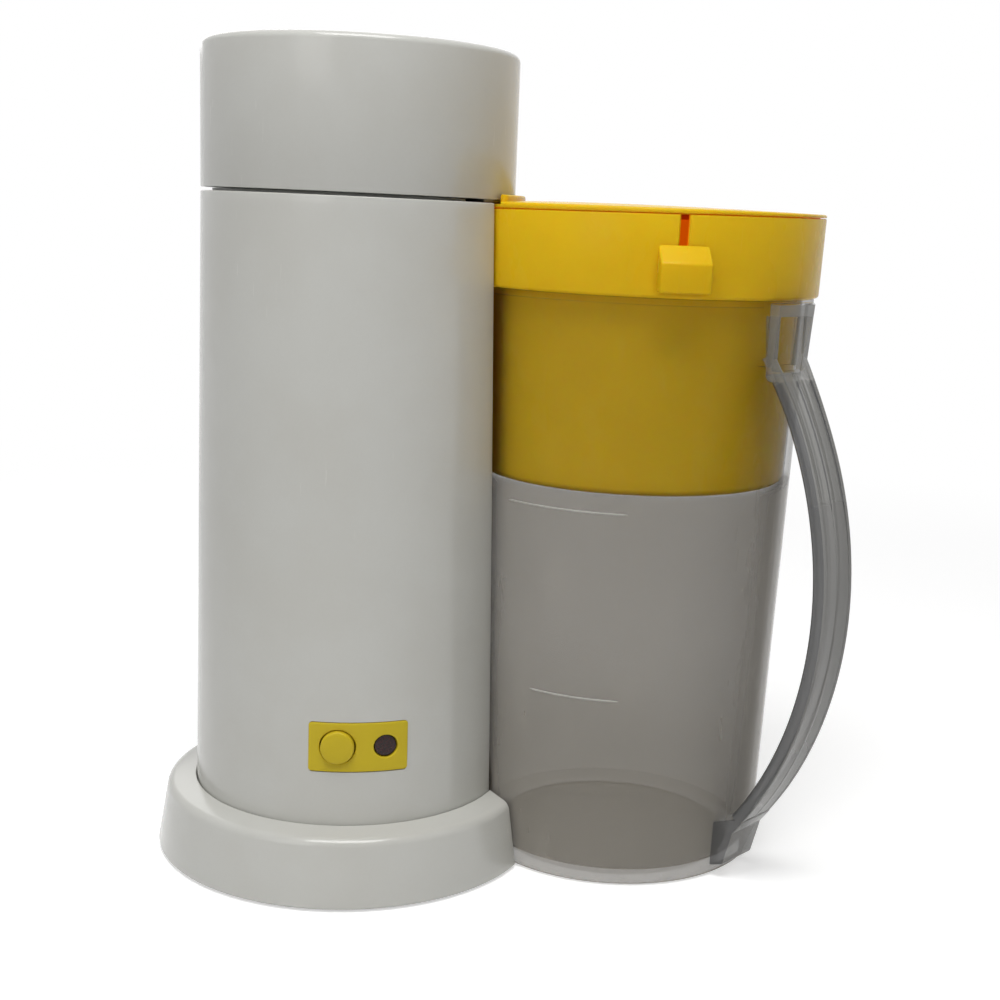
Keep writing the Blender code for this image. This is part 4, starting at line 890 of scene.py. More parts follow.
@dataclass
class TowerBody:
    """The off-white body and its flared foot."""

    at: Layout
    base_z: float = 0.0050
    corner: float = 0.0013
    edge: float = 0.0004
    ledge_z: float = 0.2570
    ledge_h: float = 0.0025
    ledge_w: float = 0.0018
    row: float = 0.0030
    counts: tuple[int, int, int] = (176, 6, 64)
    skirt_top_z: float = 0.0290
    skirt_edge_r: float = 0.0742
    skirt_edge_drop: float = 0.0018
    skirt_fillet: float = 0.0040
    skirt_foot_r: float = 0.0785
    skirt_base_z: float = 0.0010
    skirt_foot_edge: float = 0.0010
    skirt_bevel: float = 0.0006
    panel_gap: float = 0.0003
    lug_w: float = 0.0050
    lug_gap: float = 0.0004
    lug_drop: float = 0.0160
    lug_lean: float = 0.0070
    hinge_r: float = 0.0032
    boss_azimuths: tuple[float, ...] = (radians(75), radians(155), radians(205), radians(285))
    boss_r: float = 0.0038
    boss_l: float = 0.0160
    boss_bite: float = 0.0010
    gland_azimuth: float = radians(122)
    gland_z: float = 0.0125
    gland_r: float = 0.0048

    def build(self) -> None:
        """Builds and dresses the body and the foot."""
        dress(self.shell(), Look.CREAM, Body.TOWER, "tower_shell")
        dress(self.skirt(), Look.CREAM, Body.TOWER, "base_skirt")

    def level(self, z: float, inwards: float) -> Loop:
        """One outline of the body's wall, a distance inside its outer face."""
        radius, hollow = self.at.shell_r(z) - inwards, self.at.hollow_r(z) + inwards
        return self.at.notched(z, radius, hollow, max(self.corner - inwards / 2, self.edge), self.counts)

    def shell(self) -> Piece:
        """The body: outer and inner wall in one skin, then the hinge's ears, bosses and panel window."""
        at, edge, wall = self.at, self.edge, self.at.wall
        rows = round((at.seam_z - self.base_z) / self.row)
        heights = [self.base_z + (at.seam_z - edge - self.base_z) * i / rows for i in range(rows + 1)]
        levels = [(z, 0.0) for z in heights]
        levels += [(at.seam_z - edge + edge * sin(a), edge * (1 - cos(a))) for a in quarter(EDGE_STEPS)[1:]]
        levels += [(at.seam_z, wall - edge / 2), (at.seam_z - edge / 2, wall)]
        ledge_low = self.ledge_z - self.ledge_h
        levels += [(self.ledge_z, wall), (self.ledge_z, wall + self.ledge_w)]
        levels += [(ledge_low, wall + self.ledge_w), (ledge_low, wall), (self.base_z, wall)]
        shell = loft("body_shell", [self.level(z, inwards) for z, inwards in levels])
        combined(shell, Cut.TOGETHER, *(self.boss(i, turn) for i, turn in enumerate(self.boss_azimuths)))
        combined(shell, Cut.TOGETHER, self.lug(-1), self.lug(1))
        return combined(shell, Cut.AWAY, self.window())

    def boss(self, i: int, azimuth: float) -> Piece:
        """A screw's boss on the inside of the body."""
        radius = self.at.shell_r(self.base_z + self.boss_l) - self.at.wall - self.boss_r + self.boss_bite
        foot = self.at.tower + polar(radius, azimuth, self.base_z + SEAT)
        return rod(f"boss_{i}", self.boss_r, foot, foot + up(self.boss_l), SMALLEST)

    def lug(self, side: int) -> Piece:
        """One of the hinge's two ears, with round corners that stop just short of meeting each other."""
        at = self.at
        middle = side * (at.knuckle_w / 2 + self.lug_gap + self.lug_w / 2)
        root, face, back = at.shell_top_r - at.wall, at.shell_top_r + BITE, at.hinge_y + self.hinge_r
        low, shelf, top = at.seam_z - self.lug_drop, at.seam_z - SEAT, at.hinge_z + self.hinge_r
        crest = self.hinge_r - SEAT
        outline = rounded(
            [
                (face, shelf),
                (root, shelf),
                (root, low),
                (face, low),
                (back, low + self.lug_lean, crest),
                (back, top, crest),
                (at.hinge_y - self.hinge_r, top, crest),
            ]
        )
        place = at.on_tower(pi / 2) @ Matrix.Translation((0, -middle, 0))
        ear = prism(f"lug_{side}", outline, self.lug_w, place, self.edge)
        return combined(ear, Cut.AWAY, at.pin_bore())

    def window(self) -> Piece:
        """The block that cuts the opening for the control panel."""
        at, gap = self.at, self.panel_gap
        half_w, half_h, corner = at.panel_w / 2 + gap, at.panel_h / 2 + gap, at.panel_corner + gap
        outline = rounded([(half_w * x, at.panel_z + half_h * y, corner) for x, y in SIDES])
        out = at.shell_low_r
        turned = Matrix.Translation((out, 0, 0)) @ Matrix.Rotation(pi / 2, 4, "Z")
        place = at.on_tower(at.panel_azimuth) @ turned
        return prism("window", outline, out, place)

    def skirt_in_r(self, z: float) -> float:
        """The inner radius of the foot's sloping side."""
        edge_z = self.skirt_top_z - self.skirt_edge_drop
        foot, edge = (self.skirt_foot_r, self.skirt_base_z), (self.skirt_edge_r, edge_z)
        return between(z, foot, edge) - self.at.wall

    def part_ring(self, name: str, profile: Loop, grow: float) -> Piece:
        """Sweeps a profile round the tower's axis, up to the docking hollow on both sides.

        Args:
            name: The object's name.
            profile: The closed (radius, height) profile.
            grow: How far outside the hollow the sweep ends.

        Returns:
            The swept body, with its ends on the hollow's cone.
        """
        at, stations = self.at, FINE - SMALLEST
        stops = [at.meeting(point.x, at.hollow_r(point.y) + grow) for point in profile]
        loops = []
        for i in range(stations + 1):
            turns = [stop + (2 * pi - 2 * stop) * i / stations for stop in stops]
            loops.append([polar(p.x, turn, p.y) + at.tower for p, turn in zip(profile, turns)])
        return loft(name, loops, ring=False)

    def skirt(self) -> Piece:
        """The flared foot: a round-shouldered shell, open below, with a wall along the docking hollow."""
        top, edge_z = self.skirt_top_z, self.skirt_top_z - self.skirt_edge_drop
        low, wall = self.skirt_base_z, self.at.wall
        outline = [
            (self.at.shell_r(top) + SEAT, top),
            (self.skirt_edge_r, edge_z, self.skirt_fillet),
            (self.skirt_foot_r, low, self.skirt_foot_edge),
            (self.at.shell_r(low) + SEAT, low),
        ]
        skirt = bevelled(self.part_ring("flared_foot", rounded(outline), 0), self.skirt_bevel)
        root = self.at.shell_r(top) - wall
        cavity = [
            (root, top - wall),
            (self.skirt_in_r(edge_z - wall), edge_z - wall, self.skirt_fillet),
            (self.skirt_in_r(-OVERRUN), -OVERRUN),
            (root, -OVERRUN),
        ]
        inside = self.part_ring("foot_inside", rounded(cavity), wall)
        out = self.skirt_in_r(self.gland_z) + wall
        ends = (polar(out + step, self.gland_azimuth, self.gland_z) for step in (-OVERRUN, OVERRUN))
        hole = rod("gland_hole", self.gland_r, *(self.at.tower + end for end in ends))
        return combined(skirt, Cut.AWAY, inside, hole)


@dataclass
class Head:
    """The tall round head, hinged at the back."""

    at: Layout
    height: float = 0.0550
    dome: float = 0.0010
    fillet: float = 0.0075
    edge: float = 0.0004
    dome_steps: int = 12
    knuckle_r: float = 0.0029
    pin_r: float = 0.0015
    pin_l: float = 0.0280

    def build(self) -> None:
        """Builds and dresses the head and its pin."""
        at = self.at
        base = at.seam_z + at.seam_gap
        top, radius, inner = base + self.height, at.shell_top_r, at.shell_top_r - at.wall
        shoulder = top - self.dome
        under = shoulder - at.wall
        corners = domed(radius, top, self.dome, self.dome_steps) + [
            (radius, shoulder, self.fillet),
            (radius, base, self.edge),
            (inner, base, self.edge),
            (inner, under, self.fillet - at.wall),
            (0, under),
        ]
        head = lathe("head", rounded(corners), at.tower)
        half = at.knuckle_w / 2
        knuckle = at.hinge_bar("knuckle", self.knuckle_r, at.knuckle_w, self.edge)
        low = (-half, radius - at.wall / 2, base + SEAT)
        high = (half, at.hinge_y, at.hinge_z + self.knuckle_r / 2)
        combined(head, Cut.TOGETHER, block("web", low, high, at.on_tower()), knuckle)
        combined(head, Cut.AWAY, at.pin_bore())
        dress(head, Look.CREAM, Body.HEAD, "reservoir_lid")
        pin = at.hinge_bar("hinge_pin", self.pin_r, self.pin_l, SEAT)
        dress(pin, Look.STEEL, Body.TOWER, "lid_hinge_pin")


# ---- the controls


@dataclass
class Controls:
    """The yellow panel, its push button and its lens."""

    at: Layout
    proud: float = 0.0003
    edge: float = 0.00035
    depth: float = 0.0045
    grid: float = 0.0012
    corner_steps: int = 6
    side_steps: tuple[int, int] = (24, 12)
    button_azimuth: float = radians(-95.8)
    button_z: float = 0.0602
    button_r: float = 0.0064
    button_edge: float = 0.0008
    button_crown: float = 0.0003
    button_bend: tuple[float, float] = (0.6, 0.3)
    button_proud: float = 0.0020
    button_back: float = 0.0060
    lens_azimuth: float = radians(-79.0)
    lens_r: float = 0.0042
    lens_inset: float = 0.0005
    lens_bend: tuple[float, float] = (0.5, 0.25)
    hole_gap: float = 0.0003

    def build(self) -> None:
        """Builds and dresses the panel, the button and the lens."""
        dress(self.panel(), Look.LEMON, Body.TOWER, "control_panel")
        dress(self.button(), Look.LEMON, Body.BUTTON, "brew_button")
        dress(self.lens(), Look.RED, Body.TOWER, "indicator_lens")

    def face_r(self, z: float) -> float:
        """The radius of the panel's face at a height."""
        return self.at.shell_r(z) + self.proud

    def wrapped(self, spot: Vector, depth: float) -> Vector:
        """Puts a point of the flat panel, at a depth behind its face, on the body's curve."""
        turn = self.at.panel_azimuth + spot.x / self.at.shell_top_r
        return self.at.tower + polar(self.face_r(spot.y) - depth, turn, spot.y)

    def outline(self, inset: float) -> Loop:
        """The panel's flat outline, drawn in by an inset."""
        at = self.at
        half_w, half_h = at.panel_w / 2 - inset, at.panel_h / 2 - inset
        radius = max(at.panel_corner - inset, self.edge)
        arcs: list[Loop] = []
        for x, y in SIDES:
            centre = Vector((half_w * x, at.panel_z + half_h * y)) - Vector((x, y)) * radius
            turns = [atan2(y, x) - pi / 4 + a for a in quarter(self.corner_steps)]
            arcs.append([centre + Vector((cos(turn), sin(turn))) * radius for turn in turns])
        outline: Loop = []
        for i, arc in enumerate(arcs):
            steps, after = self.side_steps[i % 2], arcs[(i + 1) % len(arcs)][0]
            outline += arc + [arc[-1].lerp(after, k / steps) for k in range(1, steps)]
        return outline

    def hole(self, azimuth: float, radius: float, inset: float) -> Loop:
        """The flat outline of one of the panel's round holes."""
        x, size = (azimuth - self.at.panel_azimuth) * self.at.shell_top_r, radius + inset
        turns = [2 * pi * i / SMALL for i in range(SMALL)]
        return [Vector((x + size * cos(a), self.button_z + size * sin(a))) for a in turns]

    def panel(self) -> Piece:
        """The curved plate, with rounded edges round its outline and its two holes."""
        turns = reversed(quarter(EDGE_STEPS))
        rims = [(self.edge * (1 - cos(a)), self.edge * (1 - sin(a))) for a in turns] + [(0.0, self.depth)]
        holes = (
            (self.button_azimuth, self.button_r + self.hole_gap),
            (self.lens_azimuth, self.lens_r + self.hole_gap),
        )

        def build(work: Mesh) -> None:
            makers = [self.outline] + [lambda inset, h=h: self.hole(*h, inset) for h in holes]
            for inset, depth in (rims[0], rims[-1]):
                self.fill(work, [maker(inset) for maker in makers], depth)
            for maker in makers:
                rows = [[work.verts.new(self.wrapped(p, depth)) for p in maker(inset)] for inset, depth in rims]
                for first, second in zip(rows, rows[1:]):
                    add_strip(work, first, second)
            bmesh.ops.remove_doubles(work, verts=work.verts, dist=MERGE)

        return piece_from("panel", build)

    def fill(self, work: Mesh, loops: list[Loop], depth: float) -> None:
        """Fills the panel's flat outline, less its holes, with a fine net of faces."""
        points: Loop = []
        edges: list[tuple[int, int]] = []
        for loop in loops:
            first = len(points)
            points += loop
            edges += [(first + i, first + (i + 1) % len(loop)) for i in range(len(loop))]
        spans = ([p[k] for p in loops[0]] for k in (0, 1))
        (left, right), (low, high) = ((min(span), max(span)) for span in spans)
        columns, rows = round((right - left) / self.grid), round((high - low) / self.grid)
        clearance = self.grid / 3
        for i in range(1, columns):
            for j in range(1, rows):
                spot = Vector((left + (right - left) * i / columns, low + (high - low) * j / rows))
                if min((spot - p).length for p in points) > clearance:
                    points.append(spot)
        found = delaunay_2d_cdt(points, edges, [], 0, TINY)
        centres = [sum(loop, Vector((0, 0))) / len(loop) for loop in loops[1:]]
        sizes = [(loop[0] - centre).length for loop, centre in zip(loops[1:], centres)]
        verts = [work.verts.new(self.wrapped(p, depth)) for p in found[0]]
        for face in found[2]:
            middle = sum((found[0][i] for i in face), Vector((0, 0))) / len(face)
            inside = self.inside(middle, loops[0])
            if inside and all((middle - c).length > r * cos(pi / SMALL) for c, r in zip(centres, sizes)):
                work.faces.new([verts[i] for i in face])

    @staticmethod
    def inside(spot: Vector, loop: Loop) -> bool:
        """Whether a flat point lies in a convex outline that runs anticlockwise."""
        return all((b - a).cross(spot - a) >= 0 for a, b in zip(loop, loop[1:] + loop[:1]))

    def axis(self, azimuth: float) -> tuple[Vector, Matrix]:
        """The point on the panel's face where a control's axis comes out, and the turn to that axis."""
        foot = self.at.tower + polar(self.face_r(self.button_z), azimuth, self.button_z)
        return foot, polar(1, azimuth).to_track_quat("Z", "Y").to_matrix()

    def button(self) -> Piece:
        """The round button, with a faint crown and a soft edge."""
        corners = self.crowned(self.button_r, self.button_proud, self.button_bend, self.button_edge)
        corners += [(self.button_r, -self.button_back), (0, -self.button_back)]
        return lathe("button", rounded(corners), *self.axis(self.button_azimuth), steps=SMALL * 2)

    def lens(self) -> Piece:
        """The lens: a shallow dome, just inside the panel's face."""
        corners = self.crowned(self.lens_r, -self.lens_inset, self.lens_bend, self.edge)
        corners += [(self.lens_r, -self.depth), (0, -self.depth)]
        return lathe("lens", rounded(corners), *self.axis(self.lens_azimuth), steps=SMALL)

    def crowned(self, radius: float, top: float, bend: tuple[float, float], edge: float) -> list[Corner]:
        """The upper corners of a control: its middle, the bend of its crown and its rounded rim."""
        out, drop = radius * bend[0], self.button_crown * bend[1]
        return [(0, top), (out, top - drop), (radius, top - self.button_crown, edge)]


# ---- the pitcher


@dataclass
class Handle:
    """The jug's handle: a ribbed bar on a curve, the yoke at its upper end and the heel at its foot."""

    at: Layout
    azimuth: float = radians(-50)
    top: Corner = (0.0707, 0.2120)
    top_lead: Corner = (0.0890, 0.1838)
    middle: Corner = (0.1006, 0.1173)
    middle_lead: float = 0.0350
    low: Corner = (0.0715, 0.0275)
    low_lead: Corner = (0.0887, 0.0505)
    width: float = 0.0210
    depth: float = 0.0052
    flange: float = 0.0026
    web: float = 0.0022
    rib: float = 0.0018
    rib_depth: float = 0.0042
    edge: float = 0.0006
    flat_share: float = 0.9
    flat_end: float = 0.45
    flare_rate: float = 6.0
    stations: int = 36
    yoke_w: float = 0.0246
    yoke_low_z: float = 0.2030
    yoke_top_r: float = 0.0757
    yoke_low_r: float = 0.0738
    yoke_toe: Corner = (0.0762, 0.2030)
    yoke_root_r: float = 0.0712
    yoke_root_w: float = 0.0234
    yoke_gap: float = 0.0003
    yoke_bevel: float = 0.00096
    pocket_r: float = 0.0684
    pocket_low: tuple[float, float] = (0.0084, 0.2066)
    pocket_top: tuple[float, float] = (0.0109, 0.2272)
    heel_w: float = 0.0205
    heel: tuple[Corner, ...] = ((0.0768, 0.0300), (0.0705, 0.0214), (0.0667, 0.0068))
    heel_root_z: float = 0.0045
    heel_back_z: float = 0.0235
    side_share: float = 0.7

    @property
    def place(self) -> Matrix:
        """The turn into the handle's plane."""
        return self.at.on_pitcher(self.azimuth)

    def path(self) -> list[tuple[Vector, Vector]]:
        """The handle's line: (place, direction) in its plane, from the yoke to the heel."""
        points = (self.top, self.top_lead, self.middle, self.low, self.low_lead)
        top, lead, middle, low, low_lead = (Vector(point) for point in points)
        lift = Vector((0, self.middle_lead))
        spots: list[tuple[Vector, Vector]] = []
        for start, a, b, end in ((top, lead, middle + lift, middle), (middle, middle - lift, low_lead, low)):
            for i in range(self.stations + (end is low)):
                t = i / self.stations
                spot = start * (1 - t) ** 3 + a * 3 * t * (1 - t) ** 2 + b * 3 * t**2 * (1 - t) + end * t**3
                way = (a - start) * (1 - t) ** 2 + (b - a) * 2 * t * (1 - t) + (end - b) * t**2
                spots.append((spot, way.normalized()))
        return spots

    def section(self) -> Loop:
        """The outline across the handle: two flanges, a web and a rib down its middle, with soft edges."""
        half, depth, edge = self.width / 2, self.depth / 2, self.edge
        groove, web, rib, crest = half - self.flange, self.web / 2, self.rib / 2, self.rib_depth / 2
        right = [
            (rib, crest, edge),
            (rib, web, edge / 2),
            (groove, web, edge / 2),
            (groove, depth, edge),
            (half, depth, edge * 2),
        ]
        upper = [(-x, y, r) for x, y, r in reversed(right)] + right
        return rounded(upper + [(-x, -y, r) for x, y, r in upper])

    def bar(self) -> Piece:
        """The section swept along the handle's line, its outer channel running out below the yoke."""
        section, depth, path = self.section(), self.depth / 2, self.path()
        channel = self.width / 2 - self.flange + self.edge
        loops = []
        for i, (spot, way) in enumerate(path):
            across = Vector((-way.y, way.x))
            along = i / len(path)
            filled = min(1.0, along / self.flat_end) * self.flat_share
            flare = 1 + (self.yoke_w / self.width - 1) * max(0.0, 1 - along * self.flare_rate) ** 2
            loop = []
            for p in section:
                lift = (depth - p.y) * filled if p.y > 0 and abs(p.x) < channel else 0.0
                out = spot + across * (p.y + lift)
                loop.append(self.place @ Vector((out.x, p.x * flare, out.y)))
            loops.append(loop)
        return loft("bar", loops, ring=False)

    def yoke(self) -> tuple[Piece, Piece]:
        """The block at the handle's upper end, up to the jug's rim: its root on the wall, and its frame."""
        back, front = self.at.jug_r(self.yoke_low_z) - self.at.jug_wall / 2, self.yoke_low_r - self.edge
        top_z, low_z = self.at.jug_rim_z - self.yoke_gap, self.yoke_low_z
        root_low, root_top = low_z + self.depth, top_z - self.edge
        root = ((back, root_low), (back, root_top), (front, root_top), (front, root_low))
        frame_line = [
            (self.yoke_root_r, low_z, self.depth / 2),
            (self.yoke_root_r, top_z, self.edge),
            (self.yoke_top_r, top_z, self.edge),
            (self.yoke_low_r, low_z + self.depth, self.depth),
            self.yoke_toe,
        ]
        pieces = (("yoke_root", root, self.yoke_root_w), ("yoke_frame", frame_line, self.yoke_w))
        return tuple(
            prism(name, rounded(line), width, self.place, self.yoke_bevel) for name, line, width in pieces
        )

    def pocket(self) -> Piece:
        """The room behind the yoke's frame, narrower at its foot."""
        loops, back, front = [], self.pocket_r, self.yoke_top_r + OVERRUN
        for half, z in (self.pocket_low, self.pocket_top):
            plan = ((back, -half), (front, -half), (front, half), (back, half))
            loops.append([self.place @ Vector((x, y, z)) for x, y in plan])
        return bevelled(loft("pocket", loops, ring=False), self.edge)

    def look_at(self, centre: Vector, normal: Vector) -> Look:
        """The finish of a spot on the handle: painted shade on its sides for the dark lines seen through the
        clear bar, and a root as clear as the wall.
        """
        spot, way = self.place.inverted() @ centre, self.place.to_3x3().transposed() @ normal
        if spot.x < self.yoke_root_r and spot.z > self.yoke_low_z:
            return Look.CLEAR
        return Look.EDGE if abs(way.y) > self.side_share and spot.z < self.yoke_low_z else Look.THICK

    def foot(self) -> Piece:
        """The heel that the handle's foot stands on."""
        back = self.at.jug_foot_r - self.at.jug_wall / 2
        outline = [(back, self.heel_root_z), (back, self.heel_back_z)]
        outline += [(*corner, self.edge * 2) for corner in self.heel]
        return prism("heel", rounded(outline), self.heel_w, self.place, self.edge)


@dataclass
class Jug:
    """The clear jug with its handle, one moulding, and its level lines."""

    at: Layout
    handle: Handle
    floor: float = 0.0035
    foot_fillet: float = 0.0032
    recess_r: float = 0.0500
    recess: float = 0.0016
    rim_r: float = 0.0700
    rim_h: float = 0.0024
    rim_fillet: float = 0.0011
    edge: float = 0.0005
    thick_out: float = 0.0004
    line_h: float = 0.0006
    line_out: float = 0.00025
    line_run: int = 2
    line_thin: float = 0.1
    lines: tuple[tuple[float, float, float], ...] = (
        (0.1517, radians(-146.7), radians(-101.6)),
        (0.0777, radians(-134.6), radians(-101.1)),
    )

    def build(self) -> None:
        """Builds and dresses the jug and its level lines."""
        at = self.at
        rim, wall = at.jug_rim_z, at.jug_wall
        corners = [
            (self.rim_r, rim, self.edge),
            (self.rim_r, rim - self.rim_h, self.rim_fillet),
            (at.jug_r(rim - self.rim_h), rim - self.rim_h, self.edge),
            (at.jug_foot_r, 0, self.foot_fillet),
            (self.recess_r, 0, self.edge),
            (self.recess_r - self.recess, self.recess, self.edge),
            (0, self.recess),
            (0, self.recess + self.floor),
            (at.jug_r(self.floor) - wall, self.recess + self.floor, self.foot_fillet),
            (at.jug_top_r - wall, rim, self.edge),
        ]
        jug = lathe("clear_jug", rounded(corners), at.pitcher)
        combined(jug, Cut.TOGETHER, self.handle.bar(), self.handle.foot(), *self.handle.yoke())
        combined(jug, Cut.AWAY, self.handle.pocket())
        dress(jug, Look.CLEAR, Body.PITCHER, "pitcher_jug")
        # The handle's side faces get the painted shade finish; its other faces are thicker clear plastic
        looks = (Look.CLEAR, Look.THICK, Look.EDGE)
        for look in looks[1:]:
            jug.data.materials.append(look.made)
        for face in jug.data.polygons:
            spot = face.center - at.pitcher
            if hypot(spot.x, spot.y) > at.jug_r(spot.z) + self.thick_out and spot.z < rim - self.rim_h:
                face.material_index = looks.index(self.handle.look_at(face.center, face.normal))
        for i, line in enumerate(self.lines):
            mark = self.line(f"level_line_{i + 1}", *line)
            # The level lines take a pale finish, which is a painted highlight on the raised bead
            mark.data.materials.append(Look.BEAD.made)
            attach(mark, Body.PITCHER.value)

    def line(self, name: str, z: float, start: float, end: float) -> Piece:
        """One level line: a fine raised bead along the jug's wall, with its ends run out."""
        loops = []
        for i in range(SMALL + 1):
            share = i / SMALL
            swell = min(1.0, min(share, 1 - share) * SMALL / self.line_run + self.line_thin)
            turn = start + (end - start) * share
            loop = []
            for k in range(END_STEPS):
                a = 2 * pi * k / END_STEPS
                height = z + self.line_h / 2 * sin(a) * swell
                out = self.at.jug_r(height) + self.line_out * cos(a) * swell
                loop.append(self.at.pitcher + polar(out, turn, height))
            loops.append(loop)
        return loft(name, loops, ring=False)


@dataclass
class Basket:
    """The yellow ring and the cup that hangs in the jug."""

    at: Layout
    floor: float = 0.0020
    fillet: float = 0.0012
    edge: float = 0.0005
    cup_base_z: float = 0.1583
    cup_wall: float = 0.0018
    cup_gap: float = 0.0006
    cup_fillet: float = 0.0030
    drain_r: float = 0.0016
    drain_spacing: float = 0.0170
    drain_counts: tuple[int, ...] = (4, 8)
    drain_middle_r: float = 0.0034
    drain_turn: float = radians(0.6)
    port_r: float = 0.0030
    port_inset: float = 0.0095
    slot_w: float = 0.0033
    slot_base_z: float = 0.2375
    slot_chamfer: float = 0.0006

    def cup_r(self, z: float) -> float:
        """The cup's outer radius at a height."""
        return self.at.jug_r(z) - self.at.jug_wall - self.cup_gap

    def build(self) -> None:
        """Builds and dresses the basket."""
        at = self.at
        base, shelf = at.ring_base_z, at.ring_base_z + self.floor
        low, floor_z = self.cup_base_z, self.cup_base_z + self.cup_wall
        corners = [
            (at.ring_top_r, at.ring_top_z, self.edge),
            (at.ring_low_r, base, self.fillet),
            (self.cup_r(base), base),
            (self.cup_r(low), low, self.cup_fillet),
            (self.drain_middle_r, low),
            (self.drain_middle_r, floor_z),
            (self.cup_r(floor_z) - self.cup_wall, floor_z, self.cup_fillet - self.cup_wall / 2),
            (self.cup_r(shelf) - self.cup_wall, shelf, self.edge),
            (at.ring_low_r - at.ring_wall, shelf, self.fillet),
            (at.ring_top_r - at.ring_wall, at.ring_top_z, self.edge),
        ]
        basket = lathe("basket", rounded(corners), at.pitcher)
        half, front = self.slot_w / 2, -at.ring_top_r
        slot_low = (-half, front - OVERRUN, self.slot_base_z)
        slot_high = (half, front + OVERRUN, at.ring_top_z + OVERRUN)
        cutters = [block("slot", slot_low, slot_high, at.on_pitcher()), self.slot_edges()]
        port_at = self.cup_r(floor_z) - self.cup_wall - self.port_inset
        holes = [(self.port_r, polar(port_at, self.drain_turn - pi / 2))]
        for ring, count in enumerate(self.drain_counts, 1):
            turns = (self.drain_turn + 2 * pi * i / count for i in range(count))
            holes += [(self.drain_r, polar(self.drain_spacing * ring, turn)) for turn in turns]
        for i, (radius, spot) in enumerate(holes):
            cutters.append(drill(f"hole_{i}", radius, at.pitcher + spot + up(low), SMALLEST))
        combined(basket, Cut.AWAY, *cutters)
        at.climbed(basket, self.slot_base_z, at.ring_top_z)
        dress(basket, Look.YELLOW, Body.PITCHER, "brew_basket")
        # The ring's inner faces above the shelf take the painted shade and glow finish, which stands in for the
        # shaded, lit-through yellow seen in the slot
        basket.data.materials.append(Look.AMBER.made)
        for face in basket.data.polygons:
            spot = face.center - at.pitcher
            inside = hypot(spot.x, spot.y) < at.ring_r(spot.z) - at.ring_wall / 2
            face.material_index = int(inside and spot.z > shelf - SEAT)

    def slot_edges(self) -> Piece:
        """The wedge that takes the edges off the slot, along the ring's slanting face."""
        half, chamfer = self.slot_w / 2, self.slot_chamfer
        wide, loops = half + chamfer + OVERRUN, []
        for z in (self.slot_base_z, self.at.ring_top_z + OVERRUN):
            inner, outer = self.at.ring_r(z) - chamfer, self.at.ring_r(z) + OVERRUN
            plan = ((inner, -half), (inner, half), (outer, wide), (outer, -wide))
            loops.append([self.at.on_pitcher(-pi / 2) @ Vector((x, y, z)) for x, y in plan])
        return loft("slot_edges", loops, ring=False)


@dataclass
class StrengthSlider:
    """The knob in front of the ring, and its arm down inside the cup."""

    at: Layout
    basket: Basket
    width: float = 0.0190
    top_z: float = 0.2520
    base_z: float = 0.2350
    brow: float = 0.0065
    depth: float = 0.0066
    gap: float = 0.0005
    bevel: float = 0.0008
    neck_base_z: float = 0.2378
    neck_h: float = 0.0110
    plate: float = 0.0018
    arm_w: float = 0.0080
    arm_gap: float = 0.0006
    tongue: float = 0.0150

    def build(self) -> None:
        """Builds and dresses the slider."""
        at, cup = self.at, self.basket
        back = at.ring_top_r + self.gap
        front = back + self.depth
        floor_z = cup.cup_base_z + cup.cup_wall
        shelf = at.ring_base_z + cup.floor + SEAT
        brow_z = self.top_z - self.brow
        outline = [(back, self.base_z), (back, self.top_z), (front, brow_z), (front, self.base_z)]
        toward = at.on_pitcher(-pi / 2)
        knob = prism("slider", rounded(outline), self.width, toward, self.bevel)
        half, neck, top = self.arm_w / 2, cup.slot_w / 2 - SEAT, self.neck_base_z + self.neck_h
        outer = at.ring_low_r - at.ring_wall - self.arm_gap
        inner = cup.cup_r(floor_z) - cup.cup_wall - cup.cup_fillet
        tongue_z = floor_z + SEAT
        pieces = (
            ((outer - BITE, -neck, self.neck_base_z), (back + BITE, neck, top)),
            ((outer - self.plate, -half, shelf), (outer, half, top)),
            ((inner - self.plate, -half, shelf), (outer, half, shelf + self.plate)),
            ((inner - self.plate, -half, tongue_z), (inner, half, shelf + self.plate)),
            ((inner - self.tongue, -half, tongue_z), (inner, half, tongue_z + self.plate)),
        )
        arms = [block(f"arm_{i}", low, high, toward) for i, (low, high) in enumerate(pieces)]
        combined(knob, Cut.TOGETHER, *arms)
        dress(knob, Look.YELLOW, Body.STRENGTH, "strength_gate")


